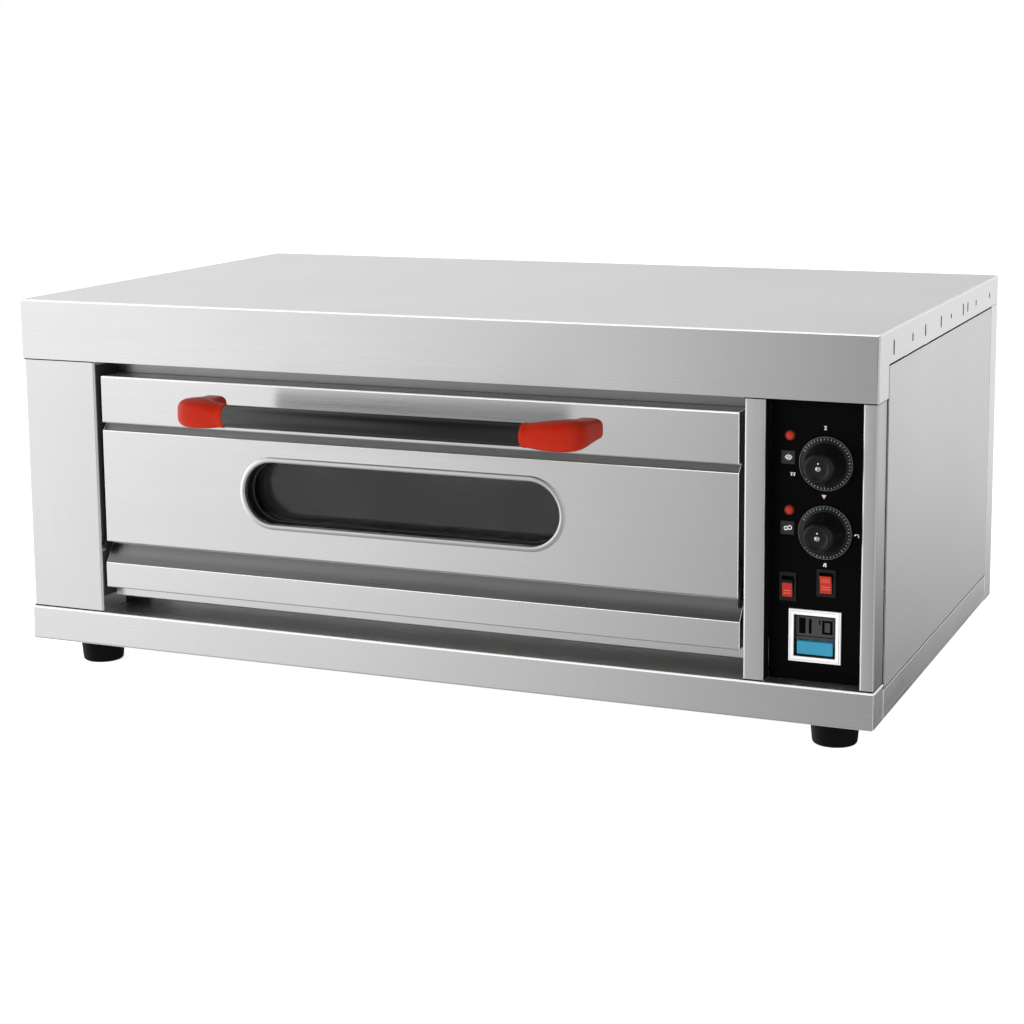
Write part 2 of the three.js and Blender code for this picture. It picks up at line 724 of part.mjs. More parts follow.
function controlPanel() {
  const plate = block(
    [POST.right + FIT, STILE.left - FIT],
    [PANEL_FACE, PANEL_FACE + PANEL_THICKNESS],
    POST_HEIGHT,
  );
  const through = [PANEL_FACE - THROUGH, PANEL_FACE + THROUGH];
  const round = (radius, x, z) => rodAlong("y", radius, ...through, SMALL_STEPS).translate(x, 0, z);
  const switchHoles = Object.values(SWITCHES).map(({ x, z, key }) =>
    block(around(x, key / 2 + JOIN + SWITCH.wall + FIT), through, around(z, SWITCH.bodyHalf + FIT)),
  );
  const timerHalf = TIMER.body / 2 + FIT;
  return cut(
    plate,
    round(KNOB.shaft + FIT, KNOB.x, UPPER_ROW),
    round(KNOB.shaft + FIT, KNOB.x, LOWER_ROW),
    round(LAMP.stem + FIT, LAMP.x, UPPER_ROW + LAMP_RISE.upper),
    round(LAMP.stem + FIT, LAMP.x, LOWER_ROW + LAMP_RISE.lower),
    ...switchHoles,
    block(around(TIMER.x, timerHalf), through, around(TIMER.z, timerHalf)),
  );
}

function indicatorLamp(z) {
  const profile = [
    [0, before(-LAMP.tail)],
    [LAMP.stem, before(-LAMP.tail)],
    [LAMP.stem, before(FIT)],
    [LAMP.radius, before(FIT)],
    [LAMP.radius, before(2)],
    [LAMP.radius * 0.8, before(LAMP.reach - 1)],
    [LAMP.radius * 0.4, before(LAMP.reach)],
    [0, before(LAMP.reach)],
  ];
  return turnedY(profile.reverse(), LAMP.x, z, SMALL_STEPS);
}

// A dial: its flat skirt carries the scale, and its tapering hub ends in a dished cap.
function thermostatKnob(z) {
  const { skirt, hub, cap, length, shaft, tail } = KNOB;
  const profile = [
    [0, before(-tail)],
    [shaft, before(-tail)],
    [shaft, before(1)],
    [skirt, before(1)],
    [skirt, before(3)],
    [skirt - 2, before(4)],
    [hub, before(5.5)],
    [cap + 2, before(length - 6)],
    [cap + 0.8, before(length - 1.5)],
    [cap - 1, before(length)],
    [cap - 4, before(length)],
    [cap - 6, before(length - 1.5)],
    [0, before(length - 1.5)],
  ];
  return turnedY(profile.reverse(), KNOB.x, z);
}

function thermostat(z) {
  const { half, gap, depth, socket } = THERMOSTAT;
  const body = block(around(KNOB.x, half), [before(-gap), before(-gap - depth)], around(z, half));
  const bore = rodAlong("y", KNOB.shaft + FIT, PANEL_FACE, before(-socket), SMALL_STEPS);
  return cut(body, bore.translate(KNOB.x, 0, z));
}

function square(size, depths) {
  return block(around(TIMER.x, size / 2), depths, around(TIMER.z, size / 2));
}

function timerCase() {
  const bezel = square(TIMER.size, [before(TIMER.reach), before(FIT)]);
  const body = square(TIMER.body, [before(SHEET), before(-TIMER.tail)]);
  const pocket = square(TIMER.opening, [before(TIMER.reach + SHEET), before(-TIMER.pocket)]);
  return cut(join(bezel, body), pocket);
}

function timerScreen() {
  const half = TIMER.opening / 2 - FIT;
  const { bottom, depth, thickness } = TIMER_SCREEN;
  const depths = [before(-depth), before(-depth - thickness)];
  return block(around(TIMER.x, half), depths, [bottom, TIMER.z + half]);
}

function timerKey() {
  const { width, height, z, reach, depth } = TIMER_KEY;
  return block(around(TIMER.x, width / 2), [before(reach), before(reach - depth)], around(z, height / 2));
}

// ---------------------------------------------------------------- underside and rear

function foot(x, y) {
  const { topRadius, soleRadius } = FOOT;
  const profile = [
    [0, 0],
    [soleRadius - 2, 0],
    [soleRadius, 2],
    [topRadius - 0.5, FOOT_HEIGHT - 4],
    [topRadius, FOOT_HEIGHT - FIT],
    [0, FOOT_HEIGHT - FIT],
  ];
  const points = profile.map(([radius, z]) => new THREE.Vector2(radius, z));
  return new THREE.LatheGeometry(points, ROUND_STEPS).rotateX(Math.PI / 2).translate(x, y, 0);
}

function cableGland() {
  const { radius, neck, reach } = GLAND;
  const profile = [
    [0, DEPTH - 10],
    [radius - 2, DEPTH - 10],
    [radius - 2, DEPTH - SHEET - FIT],
    [neck, DEPTH - SHEET - FIT],
    [neck, DEPTH + FIT],
    [radius, DEPTH + FIT],
    [radius, DEPTH + 9],
    [radius - 2.5, DEPTH + 10],
    [radius - 4, DEPTH + reach - 3],
    [radius - 6, DEPTH + reach],
    [5, DEPTH + reach],
    [5, DEPTH + reach - 4],
    [0, DEPTH + reach - 4],
  ];
  return turnedY(profile, GLAND.x, GLAND.z, SMALL_STEPS);
}

// ---------------------------------------------------------------- put together

add("top_cover", topCover(), STEEL);
add("front_plinth", frontPlinth(), STEEL);
add("base_pan", basePan(), STEEL);
add("left_side_panel", sidePanel(-1), STEEL);
add("right_side_panel", sidePanel(1), STEEL);
add("rear_panel", rearPanel(), STEEL);
add("left_pillar", leftPillar(), STEEL);
add("divider_post", dividerPost(), STEEL);
add("right_stile", rightStile(), STEEL);
add("mouth_frame", mouthFrame(), STEEL);
add("door_sill", doorSill(), STEEL);

add("chamber_roof", chamberDeck(CHAMBER.roof), DARK_STEEL);
add("chamber_floor", chamberDeck(CHAMBER.floor), DARK_STEEL);
add("chamber_left_wall", chamberWall(CHAMBER.left - SHEET), DARK_STEEL);
add("chamber_right_wall", cut(chamberWall(CHAMBER.right), ...heaterHoles()), DARK_STEEL);
add(
  "chamber_rear_wall",
  block(
    [CHAMBER.left - SHEET, CHAMBER.right + SHEET],
    [CHAMBER.rear, CHAMBER.rear + SHEET],
    WALL_HEIGHT,
  ),
  DARK_STEEL,
);
add(
  "deck_plate",
  block(
    [CHAMBER.left + SEAM, CHAMBER.right - SEAM],
    [CHAMBER.front + FIT, CHAMBER.rear - SEAM],
    [DECK_TOP - DECK_THICKNESS, DECK_TOP],
  ),
  DARK_STEEL,
);
add("upper_heater_front", heater(FRONT_HEATER, UPPER_HEATER), HEATER_STEEL);
add("upper_heater_rear", heater(REAR_HEATER, UPPER_HEATER), HEATER_STEEL);
add("lower_heater_front", heater(FRONT_HEATER, LOWER_HEATER), HEATER_STEEL);
add("lower_heater_rear", heater(REAR_HEATER, LOWER_HEATER), HEATER_STEEL);

const WOOL_LEFT = PILLAR.left + 3 * WOOL_GAP;
const WOOL_RIGHT = COMPARTMENT_WALL - WOOL_GAP;
const WOOL_FRONT = POST_RETURN + WOOL_GAP;
const WOOL_REAR = DEPTH - 2 * WOOL_GAP;
const WOOL_HEIGHT = [CHAMBER.floor + WOOL_GAP, CHAMBER.roof - SHEET];
const roofTop = CHAMBER.roof + WOOL_GAP;
const floorUnder = CHAMBER.floor - WOOL_GAP;
add(
  "insulation_roof",
  block([WOOL_LEFT, WOOL_RIGHT], [WOOL_FRONT, WOOL_REAR], [roofTop, roofTop + BLANKET]),
  WOOL,
);
add(
  "insulation_floor",
  block(
    [WOOL_LEFT, WOOL_RIGHT],
    [LEDGE_DEPTH + WOOL_GAP, WOOL_REAR],
    [floorUnder - BLANKET, floorUnder],
  ),
  WOOL,
);
add(
  "insulation_left",
  block(
    [CHAMBER.left - WOOL_GAP - BLANKET, CHAMBER.left - WOOL_GAP],
    [WOOL_FRONT, CHAMBER.rear],
    WOOL_HEIGHT,
  ),
  WOOL,
);
add(
  "insulation_right",
  cut(
    block([CHAMBER.right + WOOL_GAP, WOOL_RIGHT], [WOOL_FRONT, CHAMBER.rear], WOOL_HEIGHT),
    ...heaterHoles(),
  ),
  WOOL,
);
add(
  "insulation_rear",
  block([CHAMBER.left, CHAMBER.right], [CHAMBER.rear + WOOL_GAP, WOOL_REAR], WOOL_HEIGHT),
  WOOL,
);
add(
  "compartment_wall",
  cut(
    block(
      [COMPARTMENT_WALL, COMPARTMENT_WALL + SHEET],
      [LEDGE_DEPTH + WOOL_GAP, WOOL_REAR],
      [FOOT_HEIGHT + BEND, HEIGHT - BEND - SHEET],
    ),
    ...heaterHoles(),
  ),
  STEEL,
);

add("door_skin", doorSkin(), STEEL);
add("door_liner", doorLiner(), DARK_STEEL);
add("door_insulation", doorInsulation(), WOOL);
add("window_bezel", windowBezel(), STEEL);
add("window_glass_outer", alongY(windowOutline(-FIT), OUTER_GLASS), GLASS);
add("window_glass_inner", alongY(windowOutline(-FIT), INNER_GLASS), GLASS);
add("handle_tube", handleTube(), BLACK_PAINT);
add("handle_end_left", handleEnd(-1), RED_PLASTIC);
add("handle_end_right", handleEnd(1), RED_PLASTIC);
add("door_hinge_left", doorHinge(-1), BLACK_PAINT);
add("door_hinge_right", doorHinge(1), BLACK_PAINT);

add("control_panel", controlPanel(), BLACK_PAINT);
add("indicator_lamp_upper", indicatorLamp(UPPER_ROW + LAMP_RISE.upper), RED_LENS);
add("indicator_lamp_lower", indicatorLamp(LOWER_ROW + LAMP_RISE.lower), RED_LENS);
add("thermostat_upper", thermostat(UPPER_ROW), PALE_PLASTIC);
add("thermostat_lower", thermostat(LOWER_ROW), PALE_PLASTIC);
add("thermostat_knob_upper", thermostatKnob(UPPER_ROW), BLACK_PLASTIC);
add("thermostat_knob_lower", thermostatKnob(LOWER_ROW), BLACK_PLASTIC);
for (const [side, place] of Object.entries(SWITCHES)) {
  add(`switch_body_${side}`, switchBody(place), BLACK_PLASTIC);
  add(`rocker_${side}`, rocker(place), RED_LENS);
}
add("timer_case", timerCase(), PALE_PLASTIC);
add("timer_screen", timerScreen(), GREY_PLASTIC);
add("timer_key", timerKey(), BLUE_PLASTIC);
for (const [name, { x, y, height }, material] of [
  ["contactor", CONTACTOR, BLACK_PLASTIC],
  ["terminal_block", TERMINALS, PALE_PLASTIC],
]) {
  const floor = FOOT_HEIGHT + SHEET + FIT;
  add(name, block(x, y, [floor, floor + height]), material);
}

for (const [side, x] of [["left", -FOOT.x], ["right", FOOT.x]]) {
  add(`foot_front_${side}`, foot(x, FOOT.inset), RUBBER);
  add(`foot_rear_${side}`, foot(x, DEPTH - FOOT.inset), RUBBER);
}
add("cable_gland", cableGland(), BLACK_PLASTIC);

const FRONT_END = DOOR.front - HANDLE.standoff - HANDLE_END.nose;
const REAR_END = DEPTH + GLAND.reach;
assembly.position.y = -(FRONT_END + REAR_END) / 2;

export default oven;
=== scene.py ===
"""Looks of the single-deck bakery oven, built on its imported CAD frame.

Shapes are written in the oven's own millimetres: x to the right, y back from the hood's front
face and z up from the floor. place() turns them into the frame's metres.
"""
import json
import math

import bmesh
import bpy
from mathutils import Matrix, Vector


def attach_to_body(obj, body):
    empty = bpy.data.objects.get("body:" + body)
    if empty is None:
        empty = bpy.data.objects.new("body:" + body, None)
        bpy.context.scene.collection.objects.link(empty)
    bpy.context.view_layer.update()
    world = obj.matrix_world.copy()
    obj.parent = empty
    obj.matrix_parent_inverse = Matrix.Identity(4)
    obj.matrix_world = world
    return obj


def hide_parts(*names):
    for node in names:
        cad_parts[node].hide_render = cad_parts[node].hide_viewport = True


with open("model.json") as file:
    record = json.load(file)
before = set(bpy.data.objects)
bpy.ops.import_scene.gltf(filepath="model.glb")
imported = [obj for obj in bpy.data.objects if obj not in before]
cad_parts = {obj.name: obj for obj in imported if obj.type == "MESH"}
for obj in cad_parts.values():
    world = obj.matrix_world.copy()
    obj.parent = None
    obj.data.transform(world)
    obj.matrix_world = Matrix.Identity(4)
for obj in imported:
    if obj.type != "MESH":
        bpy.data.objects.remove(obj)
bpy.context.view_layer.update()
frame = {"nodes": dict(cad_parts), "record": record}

RECORD = frame["record"]
BODY_OF = {
    node: body for body, nodes in RECORD["behaviour"]["bodies"].items() for node in nodes
}

MM = 0.001
ORIGIN_Y = -341.0  # the oven's front face lies this far from the frame's origin

# ---------------------------------------------------------------- dimensions, millimetres

PANEL_FACE = 25.0
UPPER_ROW = 365.8
LOWER_ROW = 280.3
KNOB_X = 540.5
KNOB_LENGTH = 41.0
LAMP_X = 495.0
LAMPS = {"upper": 398.3, "lower": 305.3}
TIMER = {"x": 529.2, "z": 148.5, "half": 33.0}
WINDOW = {"x": -31.5, "z": 278.0, "half_run": 187.0, "radius": 42.5}
DOOR_FACE = 8.0
DOOR_REAR = 50.0
DOOR_GAP = 0.35  # the handle's ends stop this far short of the door's face
HANDLE = {"x": -33.0, "z": 394.0, "half": 211.0, "radius": 15.0, "y": -64.0}
REAR_FACE = 740.0
FOOT_TOP = 41.7
HOOD_BOTTOM = 446.0
PLINTH_TOP = 90.0


def place(x, y, z):
    return Vector((x * MM, (y + ORIGIN_Y) * MM, z * MM))


# ---------------------------------------------------------------- camera

CAMERA_PLACE = (1.2152, -2.8780, 0.8630)
CAMERA_AZIMUTH = 23.033
CAMERA_ELEVATION = 9.255
CAMERA_ROLL = -0.53
CAMERA_LENS = 77.185
CAMERA_SHIFT = -0.10


def make_camera():
    azimuth = math.radians(CAMERA_AZIMUTH)
    elevation = math.radians(CAMERA_ELEVATION)
    roll = math.radians(CAMERA_ROLL)
    back = Vector(
        (
            math.sin(azimuth) * math.cos(elevation),
            -math.cos(azimuth) * math.cos(elevation),
            math.sin(elevation),
        )
    )
    level = Vector((0, 0, 1)).cross(back).normalized()
    upright = back.cross(level)
    right = math.cos(roll) * level + math.sin(roll) * upright
    up = math.cos(roll) * upright - math.sin(roll) * level
    data = bpy.data.cameras.new("camera")
    data.sensor_width = 36
    data.lens = CAMERA_LENS
    data.shift_y = CAMERA_SHIFT
    data.clip_start = 0.05
    camera = bpy.data.objects.new("camera", data)
    turn = Matrix((right, up, back)).transposed().to_4x4()
    camera.matrix_world = Matrix.Translation(CAMERA_PLACE) @ turn
    bpy.context.scene.collection.objects.link(camera)
    bpy.context.scene.camera = camera


# ---------------------------------------------------------------- nodes, light, floor


class Graph:
    """Wires nodes in one shader tree. An input takes a socket or a plain value."""

    def __init__(self, tree):
        self.tree = tree

    def put(self, target, value):
        if isinstance(value, bpy.types.NodeSocket):
            self.tree.links.new(value, target)
        else:
            target.default_value = value

    def node(self, kind, inputs=None, **settings):
        node = self.tree.nodes.new(kind)
        for key, value in settings.items():
            setattr(node, key, value)
        for key, value in (inputs or {}).items():
            self.put(node.inputs[key], value)
        return node

    def math(self, operation, *values):
        node = self.node("ShaderNodeMath", operation=operation)
        for socket, value in zip(node.inputs, values):
            self.put(socket, value)
        return node.outputs[0]

    def dot(self, vector, direction):
        node = self.node("ShaderNodeVectorMath", operation="DOT_PRODUCT")
        self.put(node.inputs[0], vector)
        node.inputs[1].default_value = direction
        return node.outputs["Value"]

    def ramp(self, value, start, end, low=0.0, high=1.0):
        inputs = {"Value": value, "From Min": start, "From Max": end, "To Min": low, "To Max": high}
        return self.node("ShaderNodeMapRange", inputs, interpolation_type="SMOOTHSTEP").outputs[0]

    def mix(self, factor, first, second):
        """first where factor is 0, second where it is 1, for plain numbers."""
        rise = self.math("SUBTRACT", second, first)
        return self.math("MULTIPLY_ADD", factor, rise, first)

    def mix_colour(self, factor, first, second):
        node = self.node("ShaderNodeMix", data_type="RGBA")
        self.put(node.inputs[0], factor)
        self.put(node.inputs[6], first)
        self.put(node.inputs[7], second)
        return node.outputs[2]

    def noise(self, coordinates, stretch, detail=2.0):
        mapping = self.node("ShaderNodeMapping", {"Vector": coordinates, "Scale": stretch})
        inputs = {"Vector": mapping.outputs[0], "Scale": 1.0, "Detail": detail, "Roughness": 0.55}
        return self.node("ShaderNodeTexNoise", inputs).outputs[0]


def make_world():
    """A soft studio: bright on the left, darker on the right, pale behind and above. The levels
    are set by direction, and the camera itself sees plain white."""
    world = bpy.data.worlds.new("studio")
    bpy.context.scene.world = world
    world.use_nodes = True
    graph = Graph(world.node_tree)
    background = world.node_tree.nodes["Background"]
    coord = graph.node("ShaderNodeTexCoord").outputs["Generated"]
    x, y, z = graph.node("ShaderNodeSeparateXYZ", {"Vector": coord}).outputs
    across = graph.dot(coord, (-0.906, -0.423, 0.0))
    front = graph.ramp(across, 0.49, 0.91, 0.17, 1.34)
    above = graph.ramp(x, -0.50, -0.24, 0.08, 0.0)
    front = graph.mix(graph.ramp(x, 0.05, 0.35), front, 0.75)
    above = graph.mix(graph.ramp(x, 0.05, 0.35), above, 0.50)
    near_floor = graph.math("MULTIPLY_ADD", front, 0.28, 0.29)
    front = graph.mix(graph.ramp(z, 0.40, 0.90), front, above)
    front = graph.mix(graph.ramp(z, -0.45, -0.15), near_floor, front)
    right = graph.ramp(z, -0.252, -0.199, 0.02, 0.89)
    left = graph.ramp(x, -0.55, -0.22, 0.96, 0.85)
    behind = graph.mix(graph.ramp(x, -0.10, 0.10), left, right)
    behind = graph.mix(graph.ramp(z, 0.45, 1.0), behind, 0.55)
    level = graph.mix(graph.ramp(y, -0.2, 0.3), front, behind)
    level = graph.mix(graph.ramp(x, -0.86, -0.76), 1.9, level)
    seen = graph.node("ShaderNodeLightPath").outputs["Is Camera Ray"]
    level = graph.mix(seen, level, 1.0)
    grey = graph.node("ShaderNodeCombineXYZ", {"X": level, "Y": level, "Z": level})
    graph.put(background.inputs["Color"], grey.outputs[0])
    background.inputs["Strength"].default_value = 1.0


def make_softbox(name, where, target, size, power, mirrored=True):
    """A rectangular light; one that isn't mirrored leaves no reflection in the steel."""
    data = bpy.data.lights.new(name, "AREA")
    data.shape = "RECTANGLE"
    data.size, data.size_y = size
    data.energy = power
    lamp = bpy.data.objects.new(name, data)
    lamp.location = where
    lamp.rotation_euler = (Vector(target) - Vector(where)).to_track_quat("-Z", "Y").to_euler()
    lamp.visible_glossy = mirrored
    bpy.context.scene.collection.objects.link(lamp)


FLOOR_REACH = 9.0


def make_floor():
    material = bpy.data.materials.new("floor")
    material.use_nodes = True
    graph = Graph(material.node_tree)
    shader = material.node_tree.nodes["Principled BSDF"]
    coord = graph.node("ShaderNodeTexCoord").outputs["Object"]
    cloud = graph.noise(coord, (1.5, 1.5, 1.5))
    colour = graph.mix_colour(cloud, (0.80, 0.80, 0.80, 1), (0.84, 0.84, 0.84, 1))
    graph.put(shader.inputs["Base Color"], colour)
    shader.inputs["Roughness"].default_value = 0.9
    shader.inputs["Specular IOR Level"].default_value = 0.1
    shader.inputs["Emission Color"].default_value = (1, 1, 1, 1)
    shader.inputs["Emission Strength"].default_value = 0.80
    mesh = bpy.data.meshes.new("floor")
    turns = ((-1, -1), (1, -1), (1, 1), (-1, 1))
    corners = [(u * FLOOR_REACH, v * FLOOR_REACH, 0) for u, v in turns]
    mesh.from_pydata(corners, [], [(0, 1, 2, 3)])
    mesh.materials.append(material)
    floor = bpy.data.objects.new("floor", mesh)
    floor.visible_glossy = False
    bpy.context.scene.collection.objects.link(floor)


# ---------------------------------------------------------------- materials


def start_material(name):
    material = bpy.data.materials.new(name)
    material.use_nodes = True
    graph = Graph(material.node_tree)
    coord = graph.node("ShaderNodeTexCoord").outputs["Object"]
    return material, graph, material.node_tree.nodes["Principled BSDF"], coord


def shade(colour, factor):
    return tuple(min(channel * factor, 1.0) for channel in colour) + (1.0,)


def roughen(graph, shader, height, distance, strength):
    inputs = {"Height": height, "Distance": distance * MM, "Strength": strength}
    graph.put(shader.inputs["Normal"], graph.node("ShaderNodeBump", inputs).outputs[0])


SPREAD = {"x": (0.0, 0.01, 1.0), "y": (0.01, 0.0, 1.0), "z": (1.0, 0.01, 0.0)}
LINES_ALONG = 6.0
LINES_ACROSS = 860.0


def brushed(name, colour, roughness, run="x", contrast=0.07, smudge=0.05, stretch=0.8,
            metallic=1.0):
    """Brushed sheet metal: fine lines along one direction, faint broad smudges. Reflections
    are stretched across the lines."""
    material, graph, shader, coord = start_material(name)
    along, across = LINES_ALONG, LINES_ACROSS
    runs = {
        "x": (along, across, across),
        "y": (across, along, across),
        "z": (across, across, along),
    }
    lines = graph.noise(coord, runs[run], 3.0)
    if run == "x":
        normal = graph.node("ShaderNodeTexCoord").outputs["Normal"]
        sideways = graph.math("ABSOLUTE", graph.dot(normal, (1.0, 0.0, 0.0)))
        is_side = graph.math("GREATER_THAN", sideways, 0.7)
        lines = graph.mix(is_side, lines, graph.noise(coord, runs["y"], 3.0))
    cloud = graph.noise(coord, (3.0, 3.0, 3.0), 3.0)
    streak = graph.noise(coord, tuple(0.12 * s for s in runs[run]), 2.0)
    tone = graph.mix(0.2, lines, streak)
    dark = shade(colour, 1 - contrast)
    light = shade(colour, 1 + contrast)
    graph.put(shader.inputs["Base Color"], graph.mix_colour(tone, dark, light))
    spread = graph.math("MULTIPLY_ADD", lines, 0.16, roughness - 0.08)
    spread = graph.math("MULTIPLY_ADD", cloud, smudge * 2, spread)
    graph.put(shader.inputs["Roughness"], graph.math("SUBTRACT", spread, smudge))
    shader.inputs["Metallic"].default_value = metallic
    shader.inputs["Anisotropic"].default_value = stretch
    tangent = graph.node("ShaderNodeCombineXYZ", dict(zip("XYZ", SPREAD[run]))).outputs[0]
    graph.put(shader.inputs["Tangent"], tangent)
    roughen(graph, shader, lines, 0.02, 0.2)
    return material


def moulded(name, colour, roughness, grain=900.0, bump=0.03, coat=0.0, specular=0.5):
    """Moulded plastic, rubber or paint: a fine skin texture with slight changes of tone."""
    material, graph, shader, coord = start_material(name)
    pores = graph.noise(coord, (grain, grain, grain), 2.0)
    cloud = graph.noise(coord, (14.0, 14.0, 14.0), 3.0)
    tone = graph.mix(0.4, cloud, pores)
    colours = graph.mix_colour(tone, shade(colour, 0.88), shade(colour, 1.12))
    graph.put(shader.inputs["Base Color"], colours)
    rough = graph.math("MULTIPLY_ADD", cloud, 0.14, roughness - 0.07)
    graph.put(shader.inputs["Roughness"], rough)
    shader.inputs["Metallic"].default_value = 0.0
    shader.inputs["Specular IOR Level"].default_value = specular
    shader.inputs["Coat Weight"].default_value = coat
    shader.inputs["Coat Roughness"].default_value = 0.08
    roughen(graph, shader, pores, bump, 0.5)
    return material


def heated(name, colour, roughness):
    """Chamber metal that has been hot: brown and blue tints over a dull grey sheet."""
    material, graph, shader, coord = start_material(name)
    lines = graph.noise(coord, (6.0, 500.0, 500.0), 3.0)
    cloud = graph.noise(coord, (5.0, 5.0, 5.0), 4.0)
    spots = graph.noise(coord, (60.0, 60.0, 60.0), 3.0)
    grey = graph.mix_colour(lines, shade(colour, 0.82), shade(colour, 1.12))
    brown = tuple(colour[i] * k for i, k in enumerate((1.05, 0.86, 0.66))) + (1.0,)
    tint = graph.math("MULTIPLY", graph.ramp(cloud, 0.45, 0.75), 0.6)
    graph.put(shader.inputs["Base Color"], graph.mix_colour(tint, grey, brown))
    graph.put(shader.inputs["Roughness"], graph.math("MULTIPLY_ADD", spots, 0.3, roughness - 0.15))
    shader.inputs["Metallic"].default_value = 1.0
    roughen(graph, shader, spots, 0.05, 0.4)
    return material


def fibrous(name, colour):
    """Mineral wool: matted fibres."""
    material, graph, shader, coord = start_material(name)
    fibres = graph.noise(coord, (300.0, 120.0, 300.0), 6.0)
    clumps = graph.noise(coord, (30.0, 30.0, 30.0), 4.0)
    tone = graph.mix(0.5, fibres, clumps)
    colours = graph.mix_colour(tone, shade(colour, 0.7), shade(colour, 1.1))
    graph.put(shader.inputs["Base Color"], colours)
    graph.put(shader.inputs["Roughness"], graph.math("MULTIPLY_ADD", fibres, 0.1, 0.88))
    shader.inputs["Sheen Weight"].default_value = 0.2
    roughen(graph, shader, tone, 1.5, 0.8)
    return material


def glazed(name, tint, roughness, ior):
    """Toughened oven glass with a faint film on it."""
    material, graph, shader, coord = start_material(name)
    film = graph.noise(coord, (9.0, 9.0, 9.0), 3.0)
    graph.put(shader.inputs["Base Color"], graph.mix_colour(film, shade(tint, 0.9), shade(tint, 1.1)))
    graph.put(shader.inputs["Roughness"], graph.math("MULTIPLY_ADD", film, 0.06, roughness - 0.03))
    shader.inputs["Transmission Weight"].default_value = 1.0
    shader.inputs["IOR"].default_value = ior
    return material


STEEL = (0.78, 0.78, 0.775)
SHADED = (0.30, 0.30, 0.30)
FINISHES = {
    "steel": brushed("steel_brushed_across", STEEL, 0.30),
    "steel_upright": brushed("steel_brushed_upright", STEEL, 0.36, run="z", stretch=0.3),
    "steel_post": brushed("steel_brushed_post", (0.68, 0.68, 0.675), 0.36, run="z", stretch=0.3),
    "steel_deep": brushed("steel_brushed_back", STEEL, 0.40, run="y", stretch=0.5),
    # A darker copy of the steel for the mouth frame: painted shade for the recess above the door.
    "steel_painted_recess_shade": brushed("steel_recess_painted_shade", (0.40, 0.40, 0.395), 0.38),
    # A darker copy of the steel for the sloping faces of the door and the sill: painted shade on the
    # slopes.
    "steel_painted_slope_shade": brushed("steel_slope_painted_shade", (0.48, 0.48, 0.475), 0.30),
    # A pale, non-metallic copy of the steel for broken edges and upward bends: a painted highlight along
    # them.
    "edge": brushed("steel_edge_painted_highlight", (0.97, 0.97, 0.965), 0.34, contrast=0.03, stretch=0.0,
                    metallic=0.0),
    "rim": brushed("steel_rim", (0.70, 0.70, 0.695), 0.36, contrast=0.04, stretch=0.0),
    "chamber": heated("steel_heat_tinted", SHADED, 0.45),
    "heater": heated("steel_heater_sheath", (0.36, 0.34, 0.32), 0.5),
    "wool": fibrous("mineral_wool", (0.80, 0.77, 0.66)),
    "tube": moulded("paint_black_tube", (0.009, 0.009, 0.0092), 0.32, grain=700, bump=0.02,
                    specular=0.4),
    "panel": moulded("paint_black_panel", (0.0018, 0.0018, 0.0018), 0.5, grain=1400, bump=0.02,
                     specular=0.04),
    "black": moulded("plastic_black", (0.005, 0.005, 0.005), 0.36, grain=1100, bump=0.02, specular=0.28),
    "tile": moulded("plastic_charcoal", (0.024, 0.024, 0.025), 0.45, grain=900, bump=0.01, specular=0.2),
    "red": moulded("plastic_red", (0.37, 0.015, 0.003), 0.38, grain=500, bump=0.02, specular=0.10),
    "lens": moulded("lens_red", (0.40, 0.024, 0.010), 0.28, grain=1500, bump=0.01, coat=0.15, specular=0.2),
    "lens_rib": moulded("lens_red_pale", (0.62, 0.11, 0.07), 0.3, grain=1500, bump=0.01, specular=0.3),
    "pale": moulded("plastic_pale", (0.90, 0.90, 0.89), 0.3, grain=900, bump=0.01),
    "blue": moulded("plastic_blue", (0.020, 0.26, 0.41), 0.36, grain=900, bump=0.02),
    "screen": moulded("screen_grey", (0.050, 0.050, 0.051), 0.22, grain=1800, bump=0.002, specular=0.3),
    "ink": moulded("print_white", (0.80, 0.80, 0.80), 0.5, grain=1500, bump=0.005),
    "ink_dim": moulded("print_grey", (0.24, 0.24, 0.24), 0.5, grain=1500, bump=0.005),
    "ink_pink": moulded("print_pink", (0.66, 0.42, 0.52), 0.5, grain=1500, bump=0.005),
    "segment": moulded("print_black", (0.002, 0.002, 0.002), 0.4, grain=1500, bump=0.002, specular=0.02),
    "rubber": moulded("rubber_black", (0.003, 0.003, 0.003), 0.62, grain=350, bump=0.08, specular=0.08),
    "glass": glazed("glass_smoked", (0.30, 0.30, 0.31), 0.06, 1.45),
    "glass_clear": glazed("glass_clear", (0.74, 0.74, 0.75), 0.05, 1.15),
    "screw": brushed("steel_screw", (0.62, 0.62, 0.61), 0.28, contrast=0.05, stretch=0.0),
    "sleeve": moulded("paint_black_sleeve", (0.006, 0.006, 0.006), 0.5, grain=600, bump=0.03, specular=0.3),
    # Black for the seam lines, the vent slots, the post's return and the side panels' borders: painted
    # shade.
    "gap": moulded("black_painted_shade", (0.004, 0.004, 0.004), 0.7, grain=900, bump=0.01, specular=0.05),
    "seal": moulded("seal_braided", (0.03, 0.03, 0.03), 0.8, grain=420, bump=0.3),
}

# ---------------------------------------------------------------- shapes
# A shape is a pair of lists: its corners in millimetres and its faces.


def merged(*shapes):
    corners = []
    faces = []
    for more_corners, more_faces in shapes:
        start = len(corners)
        corners += more_corners
        faces += [tuple(start + index for index in face) for face in more_faces]
    return corners, faces


